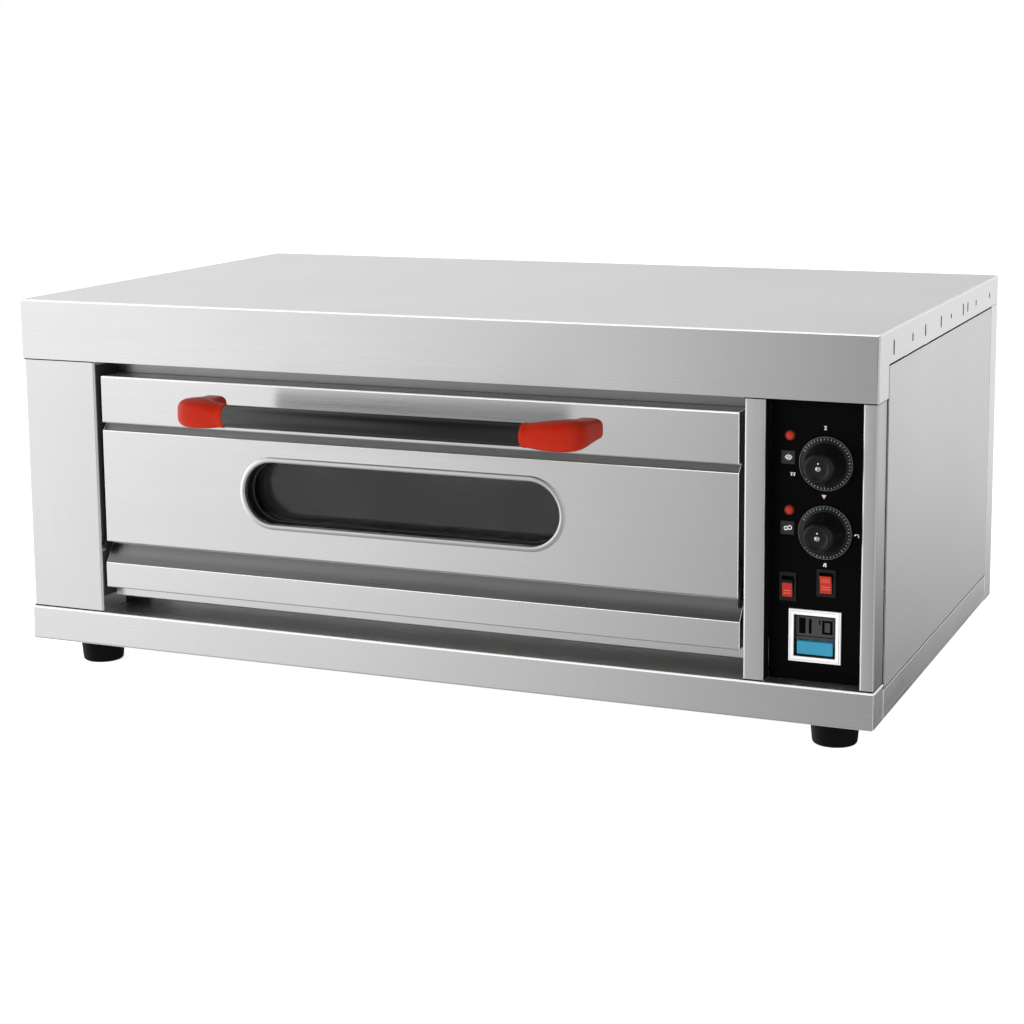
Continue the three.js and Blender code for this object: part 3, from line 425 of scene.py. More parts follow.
def stitched(rings, closed_path=False):
    """A skin over rings of points, all with the same number of points. An open path is capped."""
    count = len(rings[0])
    corners = [corner for ring in rings for corner in ring]
    faces = []
    last = len(rings) if closed_path else len(rings) - 1
    for row in range(last):
        here = row * count
        there = ((row + 1) % len(rings)) * count
        for i in range(count):
            j = (i + 1) % count
            faces.append((here + i, here + j, there + j, there + i))
    if not closed_path:
        faces.append(tuple(range(count)))
        end = (len(rings) - 1) * count
        faces.append(tuple(end + i for i in range(count)))
    return corners, faces


def turned(profile, centre, axis="y", steps=56):
    """A body of revolution. The profile holds (radius, distance along the axis) pairs, and
    centre holds the two other coordinates of the axis."""
    rings = []
    for radius, along in profile:
        ring = []
        for i in range(steps):
            angle = 2 * math.pi * i / steps
            u = centre[0] + radius * math.cos(angle)
            v = centre[1] + radius * math.sin(angle)
            ring.append({"x": (along, u, v), "y": (u, along, v), "z": (u, v, along)}[axis])
        rings.append(ring)
    return stitched(rings)


def box(low, high):
    (x0, y0, z0), (x1, y1, z1) = low, high
    rings = [[(x0, y, z0), (x1, y, z0), (x1, y, z1), (x0, y, z1)] for y in (y0, y1)]
    return stitched(rings)


def prism_x(section, x0, x1):
    return stitched([[(x, y, z) for y, z in section] for x in (x0, x1)])


def plate(outline, y0, y1):
    """A flat shape drawn in (x, z), between two depths."""
    return stitched([[(x, y, z) for x, z in outline] for y in (y0, y1)])


def ringed(outline, profile):
    """A closed frame: profile is a loop of (growth, y), and outline gives the points for a growth."""
    return stitched([[(x, y, z) for x, z in outline(grow)] for grow, y in profile], closed_path=True)


def tube(path, radius, steps=16):
    """A round rod along a level path of (x, y, z) points."""
    rings = []
    for i, (x, y, z) in enumerate(path):
        before = path[max(i - 1, 0)]
        after = path[min(i + 1, len(path) - 1)]
        heading = math.atan2(after[1] - before[1], after[0] - before[0])
        ring = []
        for k in range(steps):
            angle = 2 * math.pi * k / steps
            out = radius * math.cos(angle)
            ring.append(
                (x - out * math.sin(heading), y + out * math.cos(heading), z + radius * math.sin(angle))
            )
        rings.append(ring)
    return stitched(rings)


def window_outline(grow, steps=40):
    radius = WINDOW["radius"] + grow
    points = []
    for side, start in ((1, -0.5), (-1, 0.5)):
        for i in range(steps + 1):
            angle = math.pi * (start + i / steps)
            points.append(
                (
                    WINDOW["x"] + side * WINDOW["half_run"] + radius * math.cos(angle),
                    WINDOW["z"] + radius * math.sin(angle),
                )
            )
    return points


def timer_outline(grow):
    half = TIMER["half"] + grow
    return [
        (TIMER["x"] + u * half, TIMER["z"] + v * half) for u, v in ((-1, -1), (1, -1), (1, 1), (-1, 1))
    ]


# ---------------------------------------------------------------- pieces

SMOOTH_LIMIT = math.radians(38)


def finish_mesh(mesh, finishes):
    for finish in finishes:
        mesh.materials.append(FINISHES[finish])
    mesh.polygons.foreach_set("use_smooth", [True] * len(mesh.polygons))
    mesh.update()


def add_piece(name, shape, finish, body="cabinet", stands_for=(), bevel=0.0, segments=2):
    """One visible piece, made from a shape, which rides on a body."""
    corners, faces = shape
    mesh = bpy.data.meshes.new(name)
    mesh.from_pydata([place(*corner) for corner in corners], [], faces)
    build = bmesh.new()
    build.from_mesh(mesh)
    bmesh.ops.remove_doubles(build, verts=build.verts, dist=0.002 * MM)
    bmesh.ops.recalc_face_normals(build, faces=build.faces)
    build.to_mesh(mesh)
    build.free()
    finish_mesh(mesh, [finish])
    mesh.set_sharp_from_angle(angle=SMOOTH_LIMIT)
    piece = bpy.data.objects.new(name, mesh)
    bpy.context.scene.collection.objects.link(piece)
    if bevel:
        soften(piece, bevel, segments)
    attach(piece, body, stands_for)
    return piece


def soften(piece, width, segments=2, edge_finish=None):
    """Rounds the sharp edges and keeps the flats flat."""
    bevel = piece.modifiers.new("bevel", "BEVEL")
    bevel.width = width * MM
    bevel.segments = segments
    bevel.limit_method = "ANGLE"
    bevel.angle_limit = math.radians(48)
    bevel.use_clamp_overlap = True
    if edge_finish is not None:
        bevel.material = edge_finish
    weights = piece.modifiers.new("flats", "WEIGHTED_NORMAL")
    weights.mode = "FACE_AREA"
    weights.keep_sharp = False


def attach(piece, body, stands_for):
    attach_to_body(piece, body)
    if stands_for:
        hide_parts(*stands_for)


BEND_STRIP = 2.5  # a strip narrower than this, and not square to an axis, belongs to a bend


def dress(node, finish, edge="edge", width=0.8, shaded_slope_finish=None, border=0.0):
    """A copy of a CAD node with its sharp edges broken and a line of the edge finish along them; the
    default edge finish is a painted highlight. The narrow faces of its upward bends take the edge
    finish too, a painted highlight on them, a broad slope may take its own finish, which paints
    shade on it, and a border of the given width may take the finish of the edges."""
    build = bmesh.new()
    build.from_mesh(frame["nodes"][node].data)
    bmesh.ops.remove_doubles(build, verts=build.verts, dist=0.005 * MM)
    bmesh.ops.dissolve_limit(
        build, angle_limit=math.radians(0.5), verts=build.verts, edges=build.edges
    )
    bordered = []
    if border:
        broad = [face for face in build.faces if abs(face.normal.x) > 0.97]
        bordered = bmesh.ops.inset_individual(build, faces=broad, thickness=border * MM)["faces"]
    build.verts.index_update()
    build.faces.index_update()
    bordered = [face.index for face in bordered]
    corners = [vertex.co.copy() for vertex in build.verts]
    faces = [[vertex.index for vertex in face.verts] for face in build.faces]
    build.free()
    name = node + "_finished"
    mesh = bpy.data.meshes.new(name)
    mesh.from_pydata(corners, [], faces)
    finish_mesh(mesh, [finish, edge] + ([shaded_slope_finish] if shaded_slope_finish else []))
    for face in mesh.polygons:
        if abs(face.normal.z) < 0.2 or abs(face.normal.z) > 0.97:
            continue
        sides = [mesh.vertices[index].co for index in face.vertices]
        longest = max((a - b).length for a in sides for b in sides)
        # Bends that face up take the edge finish, a painted highlight; bends that face down keep the main
        # finish.
        if face.area / longest < BEND_STRIP * MM:
            face.material_index = 1 if face.normal.z > 0 else 0
        # Broad slopes take the slope finish, which paints shade on them.
        elif shaded_slope_finish and abs(face.normal.x) < 0.2:
            face.material_index = 2
    for index in bordered:
        mesh.polygons[index].material_index = 1
    piece = bpy.data.objects.new(name, mesh)
    bpy.context.scene.collection.objects.link(piece)
    soften(piece, width, edge_finish=1)
    attach(piece, BODY_OF[node], (node,))
    return piece


def repaint(node, finish):
    """A CAD node that stays in view takes a finished material."""
    data = frame["nodes"][node].data
    data.materials.clear()
    data.materials.append(FINISHES[finish])


# ---------------------------------------------------------------- cabinet and chamber


def make_cabinet():
    for node in ("top_cover", "front_plinth", "rear_panel", "base_pan"):
        dress(node, "steel")
    # The sill's broad slopes take the darker steel, painted shade.
    dress("door_sill", "steel", shaded_slope_finish="steel_painted_slope_shade")
    # The mouth frame takes the darker steel, painted shade in the recess above the door.
    dress("mouth_frame", "steel_painted_recess_shade", edge="steel_painted_recess_shade")
    dress("left_pillar", "steel_upright", width=0.9)
    dress("divider_post", "steel_post", width=0.9)
    dress("right_stile", "steel_post", width=0.9)
    dress("compartment_wall", "steel_deep")
    for node in ("left_side_panel", "right_side_panel"):
        # Their broken edges and a 2.2 mm border round their outer faces take black: painted shade along the
        # seams.
        dress(node, "steel_deep", edge="gap", width=0.3, border=2.2)
    for node in ("chamber_roof", "chamber_floor", "chamber_left_wall", "chamber_right_wall",
                 "chamber_rear_wall", "deck_plate"):
        repaint(node, "chamber")
    for name in ("roof", "floor", "left", "right", "rear"):
        repaint("insulation_" + name, "wool")
    for name in ("thermostat_upper", "thermostat_lower", "terminal_block"):
        dress(name, "pale", edge="pale", width=1.0)
    dress("contactor", "black", edge="black", width=1.0)


HEATER = {"radius": 6.0, "bend": 80.0, "left": -340.0, "terminal": 456.0}
HEATERS = {
    "upper_heater_front": (210.0, 388.0),
    "upper_heater_rear": (540.0, 388.0),
    "lower_heater_front": (210.0, 180.0),
    "lower_heater_rear": (540.0, 180.0),
}


def make_heaters():
    bend = HEATER["bend"]
    for node, (y, z) in HEATERS.items():
        path = [(HEATER["terminal"], y - bend, z), (60.0, y - bend, z)]
        for i in range(25):
            angle = -math.pi / 2 - math.pi * i / 24
            path.append((HEATER["left"] + bend * math.cos(angle), y + bend * math.sin(angle), z))
        path += [(60.0, y + bend, z), (HEATER["terminal"], y + bend, z)]
        rod = tube(path, HEATER["radius"] - 0.05)
        add_piece(node + "_rod", rod, "heater", "cabinet", (node,))


FOOT_PROFILE = [
    (0.0, 7.0), (7.5, 7.0), (8.5, 6.0), (9.0, 0.6), (9.8, 0.0), (24.5, 0.0), (27.0, 0.6),
    (28.3, 2.0), (28.8, 4.0), (32.0, 36.5), (32.4, 38.0), (32.5, FOOT_TOP - 0.6), (32.0, FOOT_TOP),
    (0.0, FOOT_TOP),
]
FOOT_SCREW = [(0.0, 6.8), (5.6, 6.8), (5.8, 6.4), (5.2, 4.2), (3.0, 3.4), (0.0, 3.4)]


def make_feet():
    for end, y in (("front", 75.0), ("rear", 665.0)):
        for side, x in (("left", -543.0), ("right", 543.0)):
            node = f"foot_{end}_{side}"
            sole = turned(FOOT_PROFILE, (x, y), "z")
            add_piece(node + "_rubber", sole, "rubber", "cabinet", (node,))
            head = turned(FOOT_SCREW, (x, y), "z", 32)
            add_piece(node + "_screw", head, "screw")


def make_screw(name, x, y, z, body="cabinet", radius=3.6):
    """A pan head with a cross recess, which looks to the rear. The cross is a thin black plate in a shallow
    dish: painted shade for its slots.
    """
    recess = y + 1.1
    profile = [
        (0.0, y), (radius, y), (radius, y + 0.5), (radius * 0.88, y + 1.2),
        (radius * 0.5, y + 1.6), (radius * 0.46, recess), (0.0, recess),
    ]
    # Black arms of the cross: painted shade for the recess's slots.
    arms = [
        box((x - u, recess - 0.05, z - v), (x + u, recess + 0.1, z + v))
        for u, v in ((1.5, 0.35), (0.35, 1.5))
    ]
    cross = merged(*arms)
    add_piece(name, turned(profile, (x, z), "y", 32), "screw", body)
    add_piece(name + "_cross_shade", cross, "segment", body)


GLAND_AXIS = (540.0, 112.0)


def make_rear():
    spots = [(x, z) for x in (-590.0, -200.0, 200.0, 590.0) for z in (60.0, 472.0)]
    for i, (x, z) in enumerate(spots):
        make_screw(f"rear_screw_{i + 1}", x, REAR_FACE, z)
    body = [
        (0.0, 739.0), (9.8, 739.0), (9.8, 740.3), (13.6, 740.3), (14.0, 740.8), (14.0, 742.2),
        (12.6, 742.6), (11.6, 748.0), (11.6, 752.0), (10.8, 754.0), (10.0, 760.0), (8.6, 761.8),
        (6.2, 762.0), (5.2, 761.2), (5.0, 757.0), (0.0, 757.0),
    ]
    nut = [(0.0, 743.0), (12.0, 743.0), (13.2, 743.8), (13.2, 748.6), (12.0, 749.4), (0.0, 749.4)]
    shape = merged(turned(body, GLAND_AXIS, "y", 40), turned(nut, GLAND_AXIS, "y", 6))
    add_piece("cable_gland_body", shape, "black", "cabinet", ("cable_gland",),
              bevel=0.2)


def make_seal():
    """The soft seal round the chamber's mouth, which the closed door presses on."""
    def outline(grow):
        x0, x1, z0, z1 = -455.0 - grow, 405.0 + grow, 212.0 - grow, 404.0 + grow
        return [(x0, z0), (x1, z0), (x1, z1), (x0, z1)]

    profile = [(4.0, 51.9), (4.0, 51.0), (6.0, 50.3), (10.0, 50.3), (12.0, 51.0), (12.0, 51.9)]
    add_piece("mouth_seal", ringed(outline, profile), "seal")


# Each vent slot's middle, measured back from the front face, and its length.
VENTS = (
    (72, 19), (174, 11), (247, 16), (341, 16), (405, 7), (485, 17), (516, 14), (574, 9), (674, 9),
)
VENT_HEIGHT = 505.5
VENT_HALF_WIDTH = 3.6


def vent_slot(side, y, length):
    """A black plate set in one vent slot of the hood's side: painted shade for the dark inside of the hood.
    """
    reach = length / 2 + 0.6 - VENT_HALF_WIDTH
    outline = []
    for way in (1, -1):
        for i in range(13):
            angle = math.pi * i / 12 + (0 if way == 1 else math.pi)
            outline.append((
                y + VENT_HALF_WIDTH * math.cos(angle),
                VENT_HEIGHT + way * max(reach, 0.0) + VENT_HALF_WIDTH * math.sin(angle),
            ))
    return stitched([[(side * x, v, z) for v, z in outline] for x in (609.0, 609.97)])


POST_FACE = 3.95
POSTS = {"pillar": (-608.5, -492.7), "post": (442.8, 469.8), "stile": (590.0, 608.5)}


def make_painted_seam_shade():
    """Painted shade in black: hairlines where the posts and the side panels meet the hood and the
    plinth, plates in the hood's vent slots, and a strip on the post's return beside the control panel."""
    low = ("low", PLINTH_TOP, PLINTH_TOP + 1.4)
    for name, (x0, x1) in POSTS.items():
        for level, z0, z1 in (low, ("high", HOOD_BOTTOM - 2.2, HOOD_BOTTOM - 0.6)):
            line = box((x0 + 0.6, POST_FACE, z0), (x1 - 0.6, POST_FACE + 0.4, z1))
            add_piece(f"seam_shade_line_{name}_{level}", line, "gap", bevel=0.1)
    for side, name in ((-1, "left"), (1, "right")):
        x0, x1 = sorted((side * 608.55, side * 608.1))
        for level, z0, z1 in (low, ("high", HOOD_BOTTOM - 1.8, HOOD_BOTTOM - 0.2)):
            line = box((x0, 6.0, z0), (x1, 48.0, z1))
            add_piece(f"seam_shade_line_{name}_{level}", line, "gap", bevel=0.1)
        slots = [vent_slot(side, y, length) for y, length in VENTS]
        add_piece(f"vent_shade_plate_{name}", merged(*slots), "gap")
    # A black strip on the post's return: painted shade beside the control panel.
    shaded_return = box((469.85, 5.2, PLINTH_TOP + 1.0), (470.2, 24.4, HOOD_BOTTOM - 0.7))
    add_piece("post_return_shade", shaded_return, "gap", bevel=0.1)


def make_side_gap_shade():
    """Dark strips on the pillar's return, beside the closed door and clear of its hinge: painted shade in
    the gap between the door and the pillar.
    """
    x0, x1, y0, y1 = -492.55, -491.9, 7.0, 50.0
    for name, z0, z1 in (("high", 197.0, 440.0), ("low", 112.0, 176.0)):
        strip = box((x0, y0, z0), (x1, y1, z1))
        add_piece(f"side_gap_shade_{name}", strip, "seal", bevel=0.2)


# ---------------------------------------------------------------- door


def make_door():
    # The door's broad slopes take the darker steel, painted shade.
    dress("door_skin", "steel", shaded_slope_finish="steel_painted_slope_shade")
    dress("door_liner", "chamber", edge="chamber")
    repaint("door_insulation", "wool")
    # The hinge arms take black paint; where they show in the gap beside the door it stands in for that
    # gap's shade.
    dress("door_hinge_left", "sleeve", edge="sleeve")
    dress("door_hinge_right", "sleeve", edge="sleeve")
    columns = (-465.0, -310.0, -155.0, 0.0, 155.0, 310.0, 415.0)
    spots = [(x, z) for x in columns for z in (203.0, 412.0)]
    for i, (x, z) in enumerate(spots):
        make_screw(f"liner_screw_{i + 1}", x, DOOR_REAR, z, "door", radius=3.0)


def make_window():
    face = DOOR_FACE - 0.3
    rim = [
        (0.0, face + 6.0), (0.0, face + 0.2), (0.15, face - 0.5), (0.6, face - 1.05),
        (1.4, face - 1.4), (2.6, face - 1.5), (4.2, face - 1.45), (5.6, face - 1.15),
        (6.7, face - 0.6), (7.4, face - 0.05), (7.4, face), (1.1, face), (1.1, face + 6.0),
    ]
    bezel = ringed(window_outline, rim)
    add_piece("window_rim", bezel, "rim", "door", ("window_bezel",))
    sleeve = [(0.0, face + 6.0), (0.0, 45.0), (1.15, 45.0), (1.15, face + 6.0)]
    lining = ringed(window_outline, sleeve)
    add_piece("window_sleeve", lining, "sleeve", "door")
    gasket = [(-2.2, 27.4), (-2.2, 29.8), (-0.05, 29.8), (-0.05, 27.4)]
    seal = ringed(window_outline, gasket)
    add_piece("window_gasket", seal, "seal", "door", bevel=0.4)
    for name, finish, y0, y1 in (("outer", "glass_clear", 30.0, 34.0), ("inner", "glass", 45.4, 47.7)):
        shape = plate(window_outline(-0.3), y0, y1)
        node = "window_glass_" + name
        add_piece(node + "_pane", shape, finish, "door", (node,), bevel=0.3)


def bezier(p0, p1, p2, p3, t):
    s = 1 - t
    return tuple(
        s ** 3 * a + 3 * s * s * t * b + 3 * s * t * t * c + t ** 3 * d
        for a, b, c, d in zip(p0, p1, p2, p3)
    )


def smooth_step(t):
    t = min(max(t, 0.0), 1.0)
    return t * t * (3 - 2 * t)


END_REACH = 79.0  # from the tube's end to the bracket's far side
END_ROOT = 41.0  # from the tube's end to the near side of the bracket's root
END_STRAIGHT = 26.0
END_SHOULDER = 26.0
END_NOSE = 16.0
BEND_START = 0.22
BEND_END = 0.72
END_STEPS = 40
END_SIDES = 44


def end_outer(t):
    """The bracket's outer line in plan, from the tube's end (t = 0) to the door (t = 1)."""
    nose = HANDLE["y"] - END_NOSE
    shoulder = HANDLE["y"] + END_SHOULDER
    if t < BEND_START:
        return END_STRAIGHT * t / BEND_START, nose
    if t > BEND_END:
        foot = DOOR_FACE - DOOR_GAP
        return END_REACH, shoulder + (foot - shoulder) * (t - BEND_END) / (1 - BEND_END)
    bend = (END_STRAIGHT, nose), (END_REACH - 11, nose), (END_REACH, nose + 9), (END_REACH, shoulder)
    return bezier(*bend, (t - BEND_START) / (BEND_END - BEND_START))


def end_inner(t):
    """The bracket's inner line in plan."""
    tail = HANDLE["y"] + END_NOSE
    foot = DOOR_FACE - DOOR_GAP
    return bezier((0, tail), (END_ROOT - 10, tail), (END_ROOT, tail + 12), (END_ROOT, foot), t)


def end_half_height(t):
    rise = smooth_step((t - 0.06) / 0.36)
    fall = smooth_step((t - 0.55) / 0.45)
    return 15.9 + 3.0 * rise - 5.0 * fall


def handle_end_rings(side):
    """Sections of the bracket from the tube's end round to the door."""
    rings = []
    for i in range(END_STEPS + 1):
        t = i / END_STEPS
        outer, inner = end_outer(t), end_inner(t)
        corner = 2.1 + 1.3 * smooth_step((t - 0.06) / 0.24)
        lip = 0.45 * (1 - smooth_step(abs(t - 0.075) / 0.03))
        scale = 0.96 if i == 0 else 1 - lip / END_NOSE
        middle = [(outer[k] + inner[k]) / 2 for k in (0, 1)]
        half = [(outer[k] - inner[k]) / 2 for k in (0, 1)]
        ring = []
        for k in range(END_SIDES):
            angle = 2 * math.pi * k / END_SIDES
            across = math.copysign(abs(math.cos(angle)) ** (2 / corner), math.cos(angle)) * scale
            up = math.copysign(abs(math.sin(angle)) ** (2 / corner), math.sin(angle)) * scale
            x = HANDLE["half"] + 0.3 + middle[0] + half[0] * across
            y = middle[1] + half[1] * across
            ring.append((HANDLE["x"] + side * x, y, HANDLE["z"] + end_half_height(t) * up))
        rings.append(ring)
    return rings


def make_handle():
    radius = HANDLE["radius"]
    half = HANDLE["half"]
    profile = [
        (0.0, -half + 1.0), (radius - 1.5, -half + 1.0), (radius - 1.5, -half + 0.3),
        (radius - 1.2, -half), (radius - 0.3, -half), (radius, -half + 0.4),
        (radius, half - 0.4), (radius - 0.3, half), (radius - 1.2, half),
        (radius - 1.5, half - 0.3), (radius - 1.5, half - 1.0), (0.0, half - 1.0),
    ]
    shifted = [(r, along + HANDLE["x"]) for r, along in profile]
    shape = turned(shifted, (HANDLE["y"], HANDLE["z"]), "x", 72)
    add_piece("handle_tube_painted", shape, "tube", "door", ("handle_tube",))
    for side, name in ((-1, "left"), (1, "right")):
        node = "handle_end_" + name
        shape = stitched(handle_end_rings(side))
        end = add_piece(node + "_moulded", shape, "red", "door", (node,))
        end.visible_glossy = False


# ---------------------------------------------------------------- control column


def front(distance):
    """The y of a point this far in front of the control panel."""
    return PANEL_FACE - distance


def stroke(start, end, width, low=0.05, high=0.25):
    """A printed bar between two (x, z) points on the panel."""
    (x0, z0), (x1, z1) = start, end
    length = math.hypot(x1 - x0, z1 - z0)
    u = ((x1 - x0) / length * width / 2, (z1 - z0) / length * width / 2)
    outline = [
        (x0 + u[1] - u[0], z0 - u[0] - u[1]), (x1 + u[1] + u[0], z1 - u[0] + u[1]),
        (x1 - u[1] + u[0], z1 + u[0] + u[1]), (x0 - u[1] - u[0], z0 + u[0] - u[1]),
    ]
    return plate(outline, front(low), front(high))


def strokes(lines, centre, width, low=0.05, high=0.25):
    x, z = centre
    shapes = []
    for points in lines:
        for (x0, z0), (x1, z1) in zip(points, points[1:]):
            shapes.append(stroke((x + x0, z + z0), (x + x1, z + z1), width, low, high))
    return merged(*shapes)


def icon_ring(x, z, radius, steps=24):
    """A printed ring on an icon's tile."""
    def outline(grow):
        angles = [2 * math.pi * i / steps for i in range(steps)]
        reach = radius + grow
        return [(x + reach * math.cos(a), z + reach * math.sin(a)) for a in angles]

    corners = ((-0.6, 0.5), (0.6, 0.5), (0.6, 0.65), (-0.6, 0.65))
    return ringed(outline, [(grow, front(distance)) for grow, distance in corners])


# The marks beside the dials, as drawn, are printed at this share of their size.
MARK_SCALE = 0.7
MARK_THINNING = 0.85
ICON_TILES = {"upper": (492.4, 370.7), "lower": (492.4, 282.5)}
TOP_HEAT_ICON = [
    [(-4.6, 0.2), (-0.2, 3.4), (4.2, 0.4), (0.4, -3.2), (-4.6, 0.2)], [(-0.9, 0.1), (0.7, 0.1)],
]
# Each mark's lines, its middle and the width of its strokes.
DIAL_MARKS = {
    "dial_mark_top": (
        [[(0, 2.8), (0, -2.8)], [(-1.5, 2.6), (1.5, 2.6)], [(-1.5, -2.6), (1.5, -2.6)]],
        (538.9, 409.5), 1.3,
    ),
    "dial_mark_left": (
        [[(-2.4, 2.0), (-2.4, -2.2)], [(-3.6, 2.0), (-1.2, 2.0)], [(2.4, 2.2), (2.4, -2.2)],
         [(1.2, 2.0), (3.6, 2.0)]],
        (498.7, 350.1), 1.5,
    ),
    "dial_mark_right": (
        [[(-3.4, 0.2), (-1.6, 1.6)], [(1.4, 1.6), (3.4, 0.6), (3.4, -2.4)]], (579.4, 279.0), 1.6,
    ),
    "dial_mark_low": (
        [[(-2.2, -2.0), (-1.0, 2.4)], [(1.6, 2.4), (1.6, -2.4)]], (540.4, 239.4), 1.5,
    ),
}


def make_panel():
    dress("control_panel", "panel", edge="panel")
    for name, (x, z) in ICON_TILES.items():
        x0, x1, z0, z1 = x - 8.5, x + 8.5, z - 8.3, z + 8.3
        tile = plate([(x0, z0), (x1, z0), (x1, z1), (x0, z1)], front(0.03), front(0.5))
        add_piece(f"icon_tile_{name}", tile, "tile", bevel=0.2)
        if name == "upper":
            shape = strokes(TOP_HEAT_ICON, (x + 0.8, z), 1.4, 0.5, 0.65)
        else:
            shape = merged(icon_ring(x - 1.7, z - 0.5, 2.1), icon_ring(x + 3.0, z + 0.5, 2.3))
        add_piece(f"icon_{name}", shape, "ink")
    for name, (lines, centre, width) in DIAL_MARKS.items():
        small = [[(x * MARK_SCALE, z * MARK_SCALE) for x, z in line] for line in lines]
        mark = strokes(small, centre, width * MARK_THINNING)
        add_piece(name, mark, "ink")
    pointer = [(535.0, 326.6), (538.0, 321.4), (541.0, 326.6)]
    arrow = plate(pointer, front(0.05), front(0.25))
    add_piece("dial_mark_pointer", arrow, "ink_pink")


def make_lamps():
    for name, z in LAMPS.items():
        ring = [(5.7, 0.3), (7.2, 0.3), (7.2, 0.9), (6.8, 1.3), (5.9, 1.3), (5.7, 1.0)]
        collar = turned([(r, front(d)) for r, d in ring + ring[:1]], (LAMP_X, z), "y", 36)
        add_piece(f"lamp_collar_{name}", collar, "black")
        dome = [
            (0.0, -12), (4.0, -12), (4.0, 0.3), (5.7, 0.3), (5.75, 1.8), (5.3, 3.2), (4.3, 4.2),
            (2.6, 4.8), (0.9, 5.0), (0.0, 5.0),
        ]
        shape = turned([(r, front(d)) for r, d in dome], (LAMP_X, z), "y", 40)
        node = "indicator_lamp_" + name
        add_piece(node + "_lens", shape, "lens", "cabinet", (node,))


# Radius and distance in front of the panel, for a cap 38 mm long, which is then stretched.
KNOB_DRAWN = 38.0
KNOB_PROFILE = [
    (0.0, -15.0), (3.0, -15.0), (3.0, 1.0), (33.5, 1.0), (34.0, 1.4), (34.0, 2.6), (33.3, 3.3),
    (27.4, 5.1), (26.2, 5.5), (25.6, 6.6), (25.0, 10.0), (19.6, 31.0), (18.8, 34.4), (17.6, 36.6),
    (16.2, 37.8), (15.2, 38.0), (13.9, 38.0), (13.1, 37.7), (12.5, 37.0), (11.4, 36.6),
    (9.2, 36.5), (8.9, 36.75), (8.3, 36.75), (8.0, 36.5), (0.0, 36.5),
]
DIAL_START = 150.0  # degrees round from the knob's right, counter-clockwise
DIAL_SWEEP = -290.0
DIAL_STEPS = 36
DIAL_LONG_STEP = 6
DIAL_TICK_END = 31.6


def make_knob(name, z):
    node = "thermostat_knob_" + name
    stretch = KNOB_LENGTH / KNOB_DRAWN
    profile = [(r, front(d * stretch if d > 6 else d)) for r, d in KNOB_PROFILE]
    cap = turned(profile, (KNOB_X, z), "y", 96)
    add_piece(node + "_moulded", cap, "black", node, (node,))
    ticks = []
    for i in range(DIAL_STEPS + 1):
        angle = math.radians(DIAL_START + DIAL_SWEEP * i / DIAL_STEPS)
        inner = 29.6 if i % DIAL_LONG_STEP else 28.6
        ticks.append(dial_tick(z, angle, inner, DIAL_TICK_END, 1.1))
    add_piece(f"dial_ticks_{name}", merged(*ticks), "ink_dim", node)
    turns = [dial_tick(z, math.radians(5 * i), 32.9, 33.2, 2.9) for i in range(72)]
    add_piece(f"dial_circle_{name}", merged(*turns), "ink_dim", node)
    dome = [(0.0, 36.6), (3.3, 36.6), (3.3, 37.2), (2.8, 37.75), (1.6, 38.0), (0.0, 38.0)]
    shape = turned([(r, front(d * stretch)) for r, d in dome], (KNOB_X, z), "y", 32)
    add_piece(f"knob_stud_{name}", shape, "screw", node)
    x0, x1, z0, z1 = KNOB_X - 0.6, KNOB_X + 0.6, z + 5.6, z + 7.4
    corners = [(x0, z0), (x1, z0), (x1, z1), (x0, z1)]
    mark = plate(corners, front(36.5 * stretch), front(36.62 * stretch))
    add_piece(f"knob_mark_{name}", mark, "ink", node)


def dial_tick(z, angle, inner, outer, width):
    """A tick printed on the dial's sloping skirt."""
    across = Vector((-math.sin(angle), math.cos(angle))) * width / 2
    rings = []
    for radius in (inner, outer):
        height = 5.1 - (radius - 27.4) * 1.8 / 5.9
        centre = Vector((math.cos(angle), math.sin(angle))) * radius
        ring = []
        for side, lift in ((-1, 0.0), (1, 0.0), (1, 0.14), (-1, 0.14)):
            spot = centre + across * side
            ring.append((KNOB_X + spot.x, front(height + lift), z + spot.y))
        rings.append(ring)
    return stitched(rings)


# The key is the rocker's width. Its lens, ribs and grip are placed by height from its pivot.
SWITCHES = {
    "left": {
        "x": 494.2, "z": 209.0, "key": 14.5, "lens": (-11.5, 6.9), "ribs": (-7.0, -3.6),
        "grip": (7.3, 11.5),
    },
    "right": {
        "x": 542.8, "z": 216.8, "key": 16.5, "lens": (-11.4, 11.5), "ribs": (-6.0, -3.0, 3.6, 6.6),
    },
}
ROCKER_HALF = 11.5
RIB_HALF = 0.6
ROCKER_TILT = math.radians(10)


def rocker_section(low, high, lift):
    """The rocker's side view between two heights along it, as (y, z) from its pivot."""
    def face(v):
        return -5.5 - 1.5 * (v / ROCKER_HALF) ** 2 - lift

    def back(v):
        return 3.0 if abs(v) <= 8 else 3.0 - (abs(v) - 8) * 10 / 3.5 * 0.8

    count = 14
    spots = [low + (high - low) * i / count for i in range(count + 1)]
    return [(face(v), v) for v in spots] + [(back(v), v) for v in reversed(spots)]


def tilted(section, z):
    cos, sin = math.cos(ROCKER_TILT), math.sin(ROCKER_TILT)
    return [(front(-1.0) + y * cos - v * sin, z + y * sin + v * cos) for y, v in section]


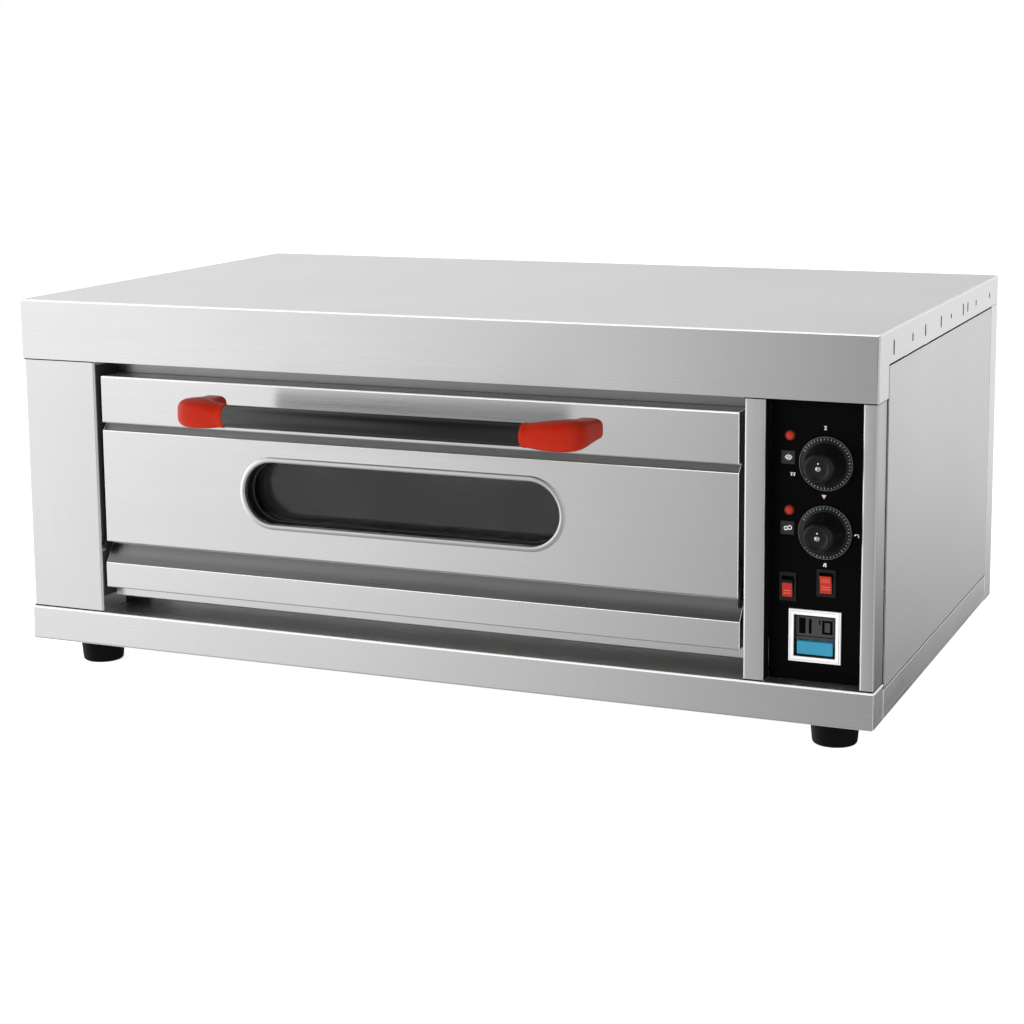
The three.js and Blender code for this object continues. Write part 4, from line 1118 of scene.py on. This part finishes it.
def make_switches():
    for name, place_of in SWITCHES.items():
        x, z, half = place_of["x"], place_of["z"], place_of["key"] / 2
        # The switch frames' broken edges take the lighter charcoal: a painted highlight along them.
        dress(f"switch_body_{name}", "black", edge="tile", width=0.6)
        node = "rocker_" + name
        section = tilted(rocker_section(-ROCKER_HALF, ROCKER_HALF, 0.0), z)
        body = prism_x(section, x - half, x + half)
        add_piece(node + "_body", body, "black", node, (node,), bevel=0.4)
        low, high = place_of["lens"]
        lens = tilted(rocker_section(low, high, 0.35), z)
        add_piece(node + "_lens", prism_x(lens, x - half + 0.9, x + half - 0.9), "lens", node,
                  bevel=0.3)
        for i, v in enumerate(place_of["ribs"]):
            rib = tilted(rocker_section(v - RIB_HALF, v + RIB_HALF, 0.6), z)
            ridge = prism_x(rib, x - half + 2.6, x + half - 2.6)
            add_piece(f"{node}_rib_{i + 1}", ridge, "lens_rib", node, bevel=0.25)
        if "grip" in place_of:
            low, high = place_of["grip"]
            grip = tilted(rocker_section(low, high, 2.0), z)
            add_piece(node + "_grip", prism_x(grip, x - half + 0.3, x + half - 0.3), "black", node,
                      bevel=0.9, segments=3)


def bar(x0, x1, z0, z1):
    """A flat shape printed on the timer's screen, measured from the timer's middle."""
    x, z = TIMER["x"], TIMER["z"]
    corners = [(x + x0, z + z0), (x + x1, z + z0), (x + x1, z + z1), (x + x0, z + z1)]
    return plate(corners, front(-2.15), front(-1.95))


def make_timer():
    x, z = TIMER["x"], TIMER["z"]
    face = [
        (0.0, 0.3), (0.0, 2.9), (-0.4, 3.4), (-1.2, 3.4), (-1.6, 3.0), (-1.8, 2.0), (-2.2, 2.0),
        (-2.4, 3.5), (-2.9, 4.0), (-3.5, 4.0), (-3.9, 3.5), (-5.0, 3.5), (-5.4, 4.0), (-6.1, 4.0),
        (-6.5, 3.6), (-6.5, -9.0), (-4.0, -9.0), (-4.0, 0.3),
    ]
    profile = [(grow, front(distance)) for grow, distance in face]
    body = box((x - 30, front(-9), z - 30), (x + 30, front(-55), z + 30))
    bezel = merged(ringed(timer_outline, profile), body)
    add_piece("timer_bezel", bezel, "pale", "cabinet", ("timer_case",))
    lining = [(-6.55, 2.6), (-8.0, 2.2), (-8.0, -8.9), (-6.55, -8.9)]
    mask = ringed(timer_outline, [(grow, front(distance)) for grow, distance in lining])
    add_piece("timer_lining", mask, "black")
    dress("timer_screen", "screen", edge="screen", width=0.2)
    digits = merged(
        bar(-21.0, -12.8, 1.6, 21.4), bar(-8.7, -5.1, 2.1, 20.6), bar(4.2, 6.0, 14.4, 20.0),
        bar(8.2, 11.3, 2.7, 20.0), bar(18.2, 21.4, 2.7, 20.0), bar(11.3, 18.2, 17.4, 20.0),
        bar(11.3, 18.2, 2.7, 5.3), bar(-25.0, 25.0, -2.0, -1.1),
    )
    add_piece("timer_digits", digits, "segment")
    key = box((x - 23.0, front(1.5), 124.3), (x + 23.0, front(-6.0), 141.5))
    add_piece("timer_key_moulded", key, "blue", "timer_key", ("timer_key",),
              bevel=1.4, segments=4)


# ---------------------------------------------------------------- put together


make_camera()
make_world()
make_softbox("key_light", (-3.0, 0.7, 0.9), (0.0, 0.0, 0.3), (1.4, 1.6), 26.0)
make_softbox("fill_light", (-1.4, -3.6, 2.2), (0.0, 0.0, 0.3), (1.6, 1.6), 72.0, mirrored=False)
make_floor()
bpy.context.scene.view_settings.view_transform = "Standard"
make_cabinet()
make_heaters()
make_feet()
make_rear()
make_seal()
make_side_gap_shade()
make_painted_seam_shade()
make_door()
make_window()
make_handle()
make_panel()
make_lamps()
make_knob("upper", UPPER_ROW)
make_knob("lower", LOWER_ROW)
make_switches()
make_timer()
